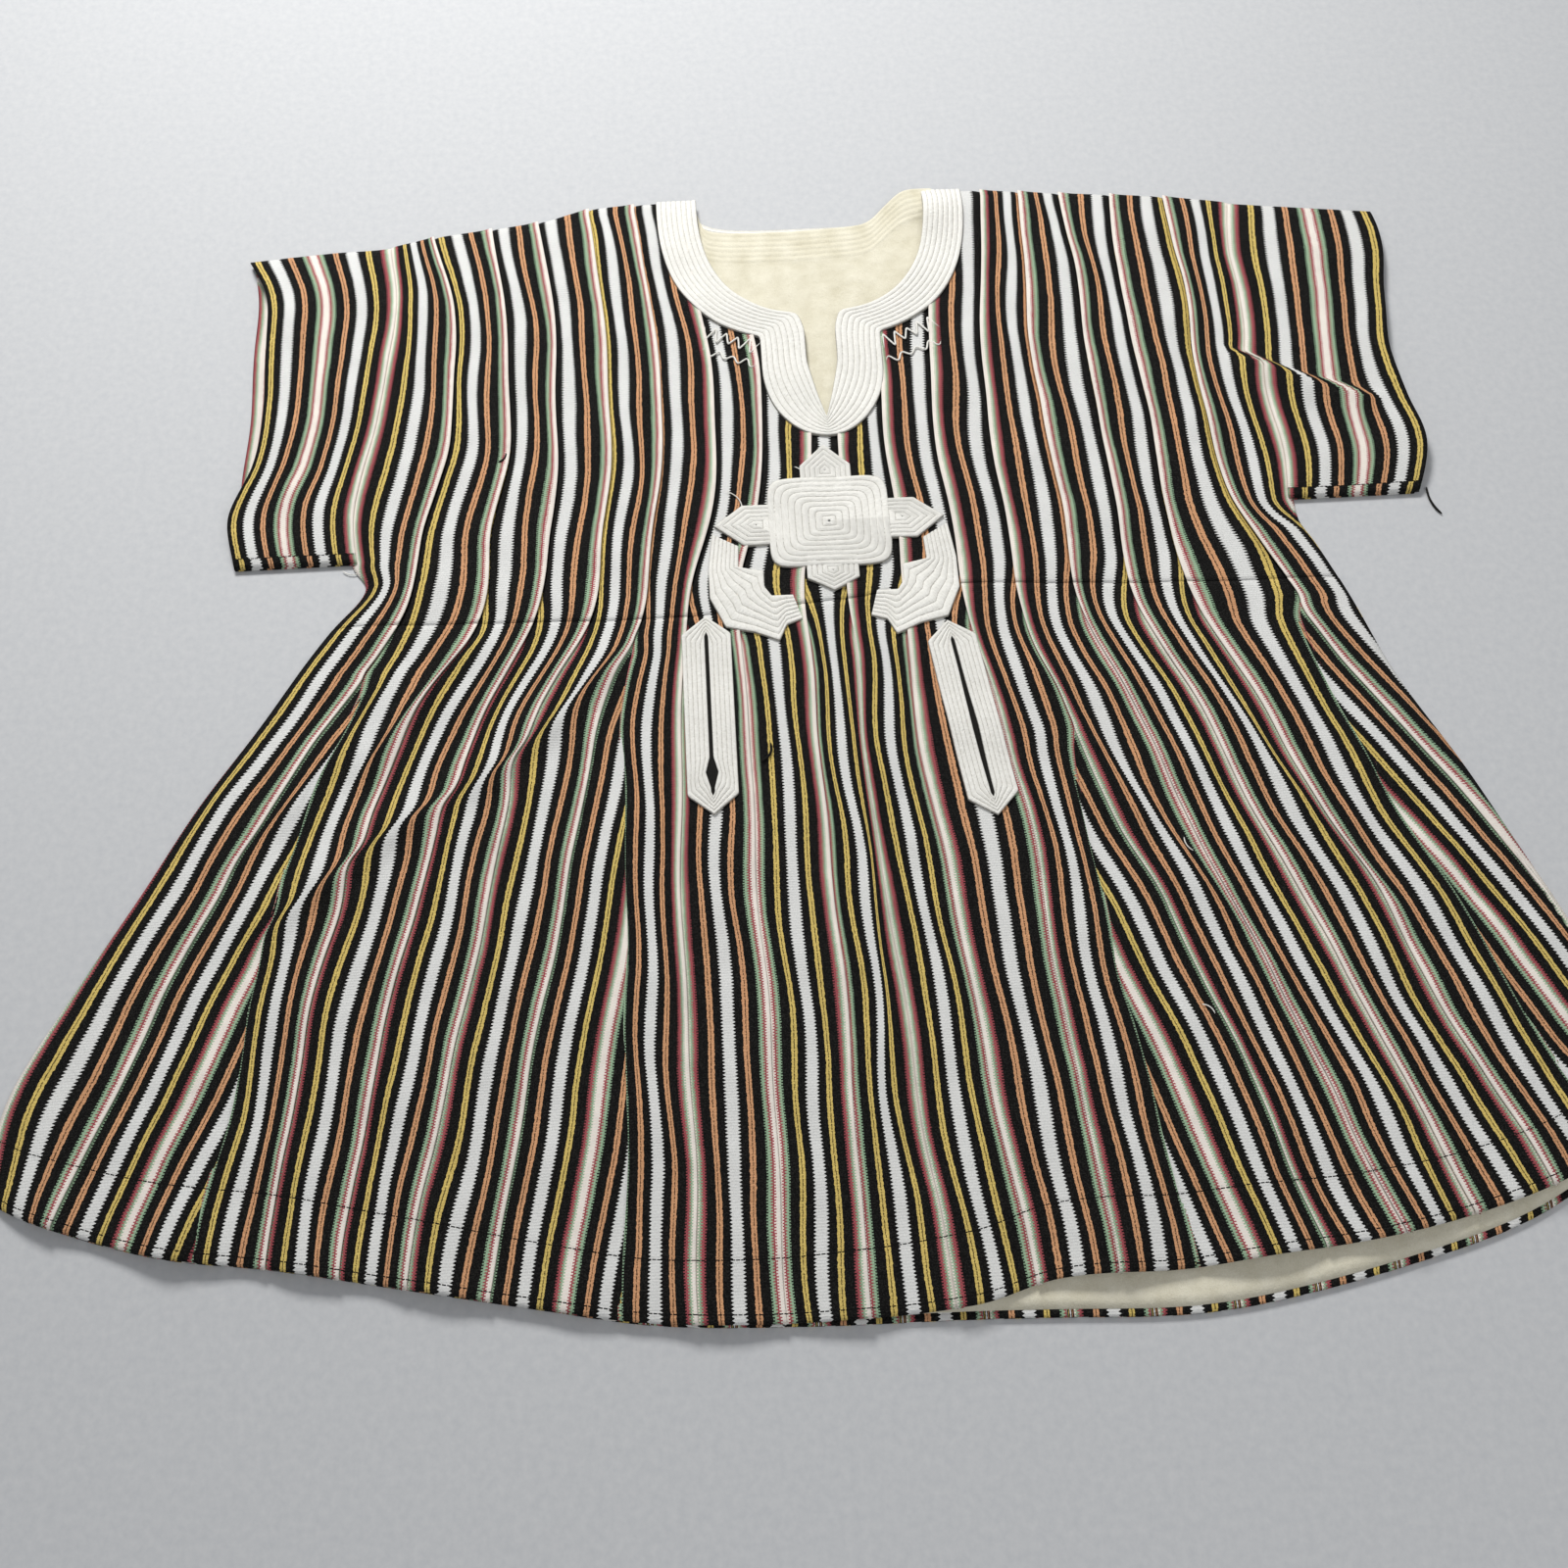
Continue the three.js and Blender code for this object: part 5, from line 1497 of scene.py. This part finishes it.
def gore_cut(name):
    """Width at the hem, length and area of a gore as it is cut, in metres: the area is the sum of its
    widths, with the laps, times the step between them."""
    left, right = gore_edges(name)
    top = GORES[name]["edges"][0][0]
    foot = float(hem_at["front"](left(HEM_CORNER)))
    y, step = np.linspace(foot, top, 400, retstep=True)
    width = np.minimum(right(y), right_at(y)) - left(y) + GORE_LAP
    return (float(width[0]) * MM, (top - foot) * MM), float(width.sum() * step) * MM * MM


UNDER_FRONT, UNDER_LINING, UNDER_BACK = ["back_lining_cloth"], ["back_skirt_cloth"], []
SHEETS = [  # piece, the node it dresses, its cut, the area of a cut that isn't a rectangle, what is under it
    (front_bodice_cloth, "front_bodice", (0.73, 0.395), 0.268, UNDER_FRONT),
    (front_skirt_cloth, "front_skirt", (1.121, 0.515), 0.42, UNDER_FRONT),
    (back_bodice_cloth, "back_bodice", (0.73, 0.395), 0.28, UNDER_BACK),
    (back_skirt_cloth, "back_skirt", (1.121, 0.515), 0.42, UNDER_BACK),
    (sleeves["left"], "left_sleeve", (0.107, 0.615), None, UNDER_BACK),
    (sleeves["right"], "right_sleeve", (0.107, 0.59), None, UNDER_BACK),
    (lining_piece, "back_lining", (1.09, 0.9), 0.72, UNDER_LINING),
]
for _layer, _gores, _under in (("front", front_gores, UNDER_FRONT), ("back", back_gores, UNDER_BACK)):
    for _name, _piece in _gores.items():
        SHEETS.append((_piece, f"{_layer}_gore_{_name}", *gore_cut(_name), _under))
for _piece, _node, _flat, _area, _under in SHEETS:
    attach(_piece, "root")
    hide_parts(_node)

EMBROIDERY = {
    neck_band_piece: "neck_band", back_band_piece: "neck_band_back", cross_piece: "chest_cross",
    hooks["left"]: "chest_hook_left", hooks["right"]: "chest_hook_right",
    welts["left"]: "pocket_welt_left", welts["right"]: "pocket_welt_right",
}
for _piece, _node in EMBROIDERY.items():
    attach(_piece, "root")
    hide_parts(_node)
for _piece, _slot in ((hem_fold, "striped_cloth"), (black_threads, "striped_cloth"), (slit_shadows, "striped_cloth"),
                      (white_threads, "embroidery_thread")):
    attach(_piece, "root")

# %% [markdown]
# ## Floor, light and camera
#
# A plain pale floor, one broad soft light from the upper left, a weaker one opposite, and a camera that
# looks down at the smock from near its hem.

# %% Stage
FLOOR = {"half": 6, "z": -0.0005}
CAMERA = {"lens": 36.0, "sensor": 36.0, "place": (-0.0501, -0.5165, 1.050), "turn": (22.6, 0, -3.4)}
LIGHTS = as_rows(("name", "place", "size", "watts"), (
    ("key", (-0.4, 1.5, 1.5), 0.6, 43.0), ("fill", (0.9, -1.2, 2.0), 2.0, 14.0),
))
SKY = {"colour": (0.9, 0.93, 1.0, 1.0), "strength": 0.28}


def make_floor():
    mesh = bpy.data.meshes.new("floor")
    half, z = FLOOR["half"], FLOOR["z"]
    corners = [(-half, -half, z), (half, -half, z), (half, half, z), (-half, half, z)]
    mesh.from_pydata(corners, [], [(0, 1, 2, 3)])
    floor = bpy.data.objects.new("floor", mesh)
    bpy.context.scene.collection.objects.link(floor)
    finish = Finish("floor", Roughness=0.9)
    grain = finish.noise(finish.place(), 180.0, 3.0, 0.6)
    finish.to("Base Color", finish.mix(grain, colour("b7b9bb"), colour("cdcdcc")))
    mesh.materials.append(finish.material)


def make_light(name, place, size, watts):
    """A square light that looks at the middle of the floor."""
    lamp = bpy.data.lights.new(name, "AREA")
    lamp.size = size
    lamp.energy = watts
    light = bpy.data.objects.new(name, lamp)
    light.location = place
    direction = -np.array(place, float)
    light.rotation_euler = (math.atan2(np.hypot(*direction[:2]), -direction[2]), 0,
                            math.atan2(direction[0], -direction[1]) + math.pi)
    bpy.context.scene.collection.objects.link(light)


def make_camera():
    lens = bpy.data.cameras.new("camera")
    lens.lens = CAMERA["lens"]
    lens.sensor_width = CAMERA["sensor"]
    camera = bpy.data.objects.new("camera", lens)
    camera.location = CAMERA["place"]
    camera.rotation_euler = [math.radians(angle) for angle in CAMERA["turn"]]
    bpy.context.scene.collection.objects.link(camera)
    bpy.context.scene.camera = camera


make_floor()
for _light in LIGHTS:
    make_light(**_light)
make_camera()
world = bpy.data.worlds.new("world")
world.use_nodes = True
world.node_tree.nodes["Background"].inputs["Color"].default_value = SKY["colour"]
world.node_tree.nodes["Background"].inputs["Strength"].default_value = SKY["strength"]
bpy.context.scene.world = world
bpy.context.scene.view_settings.view_transform = "Standard"
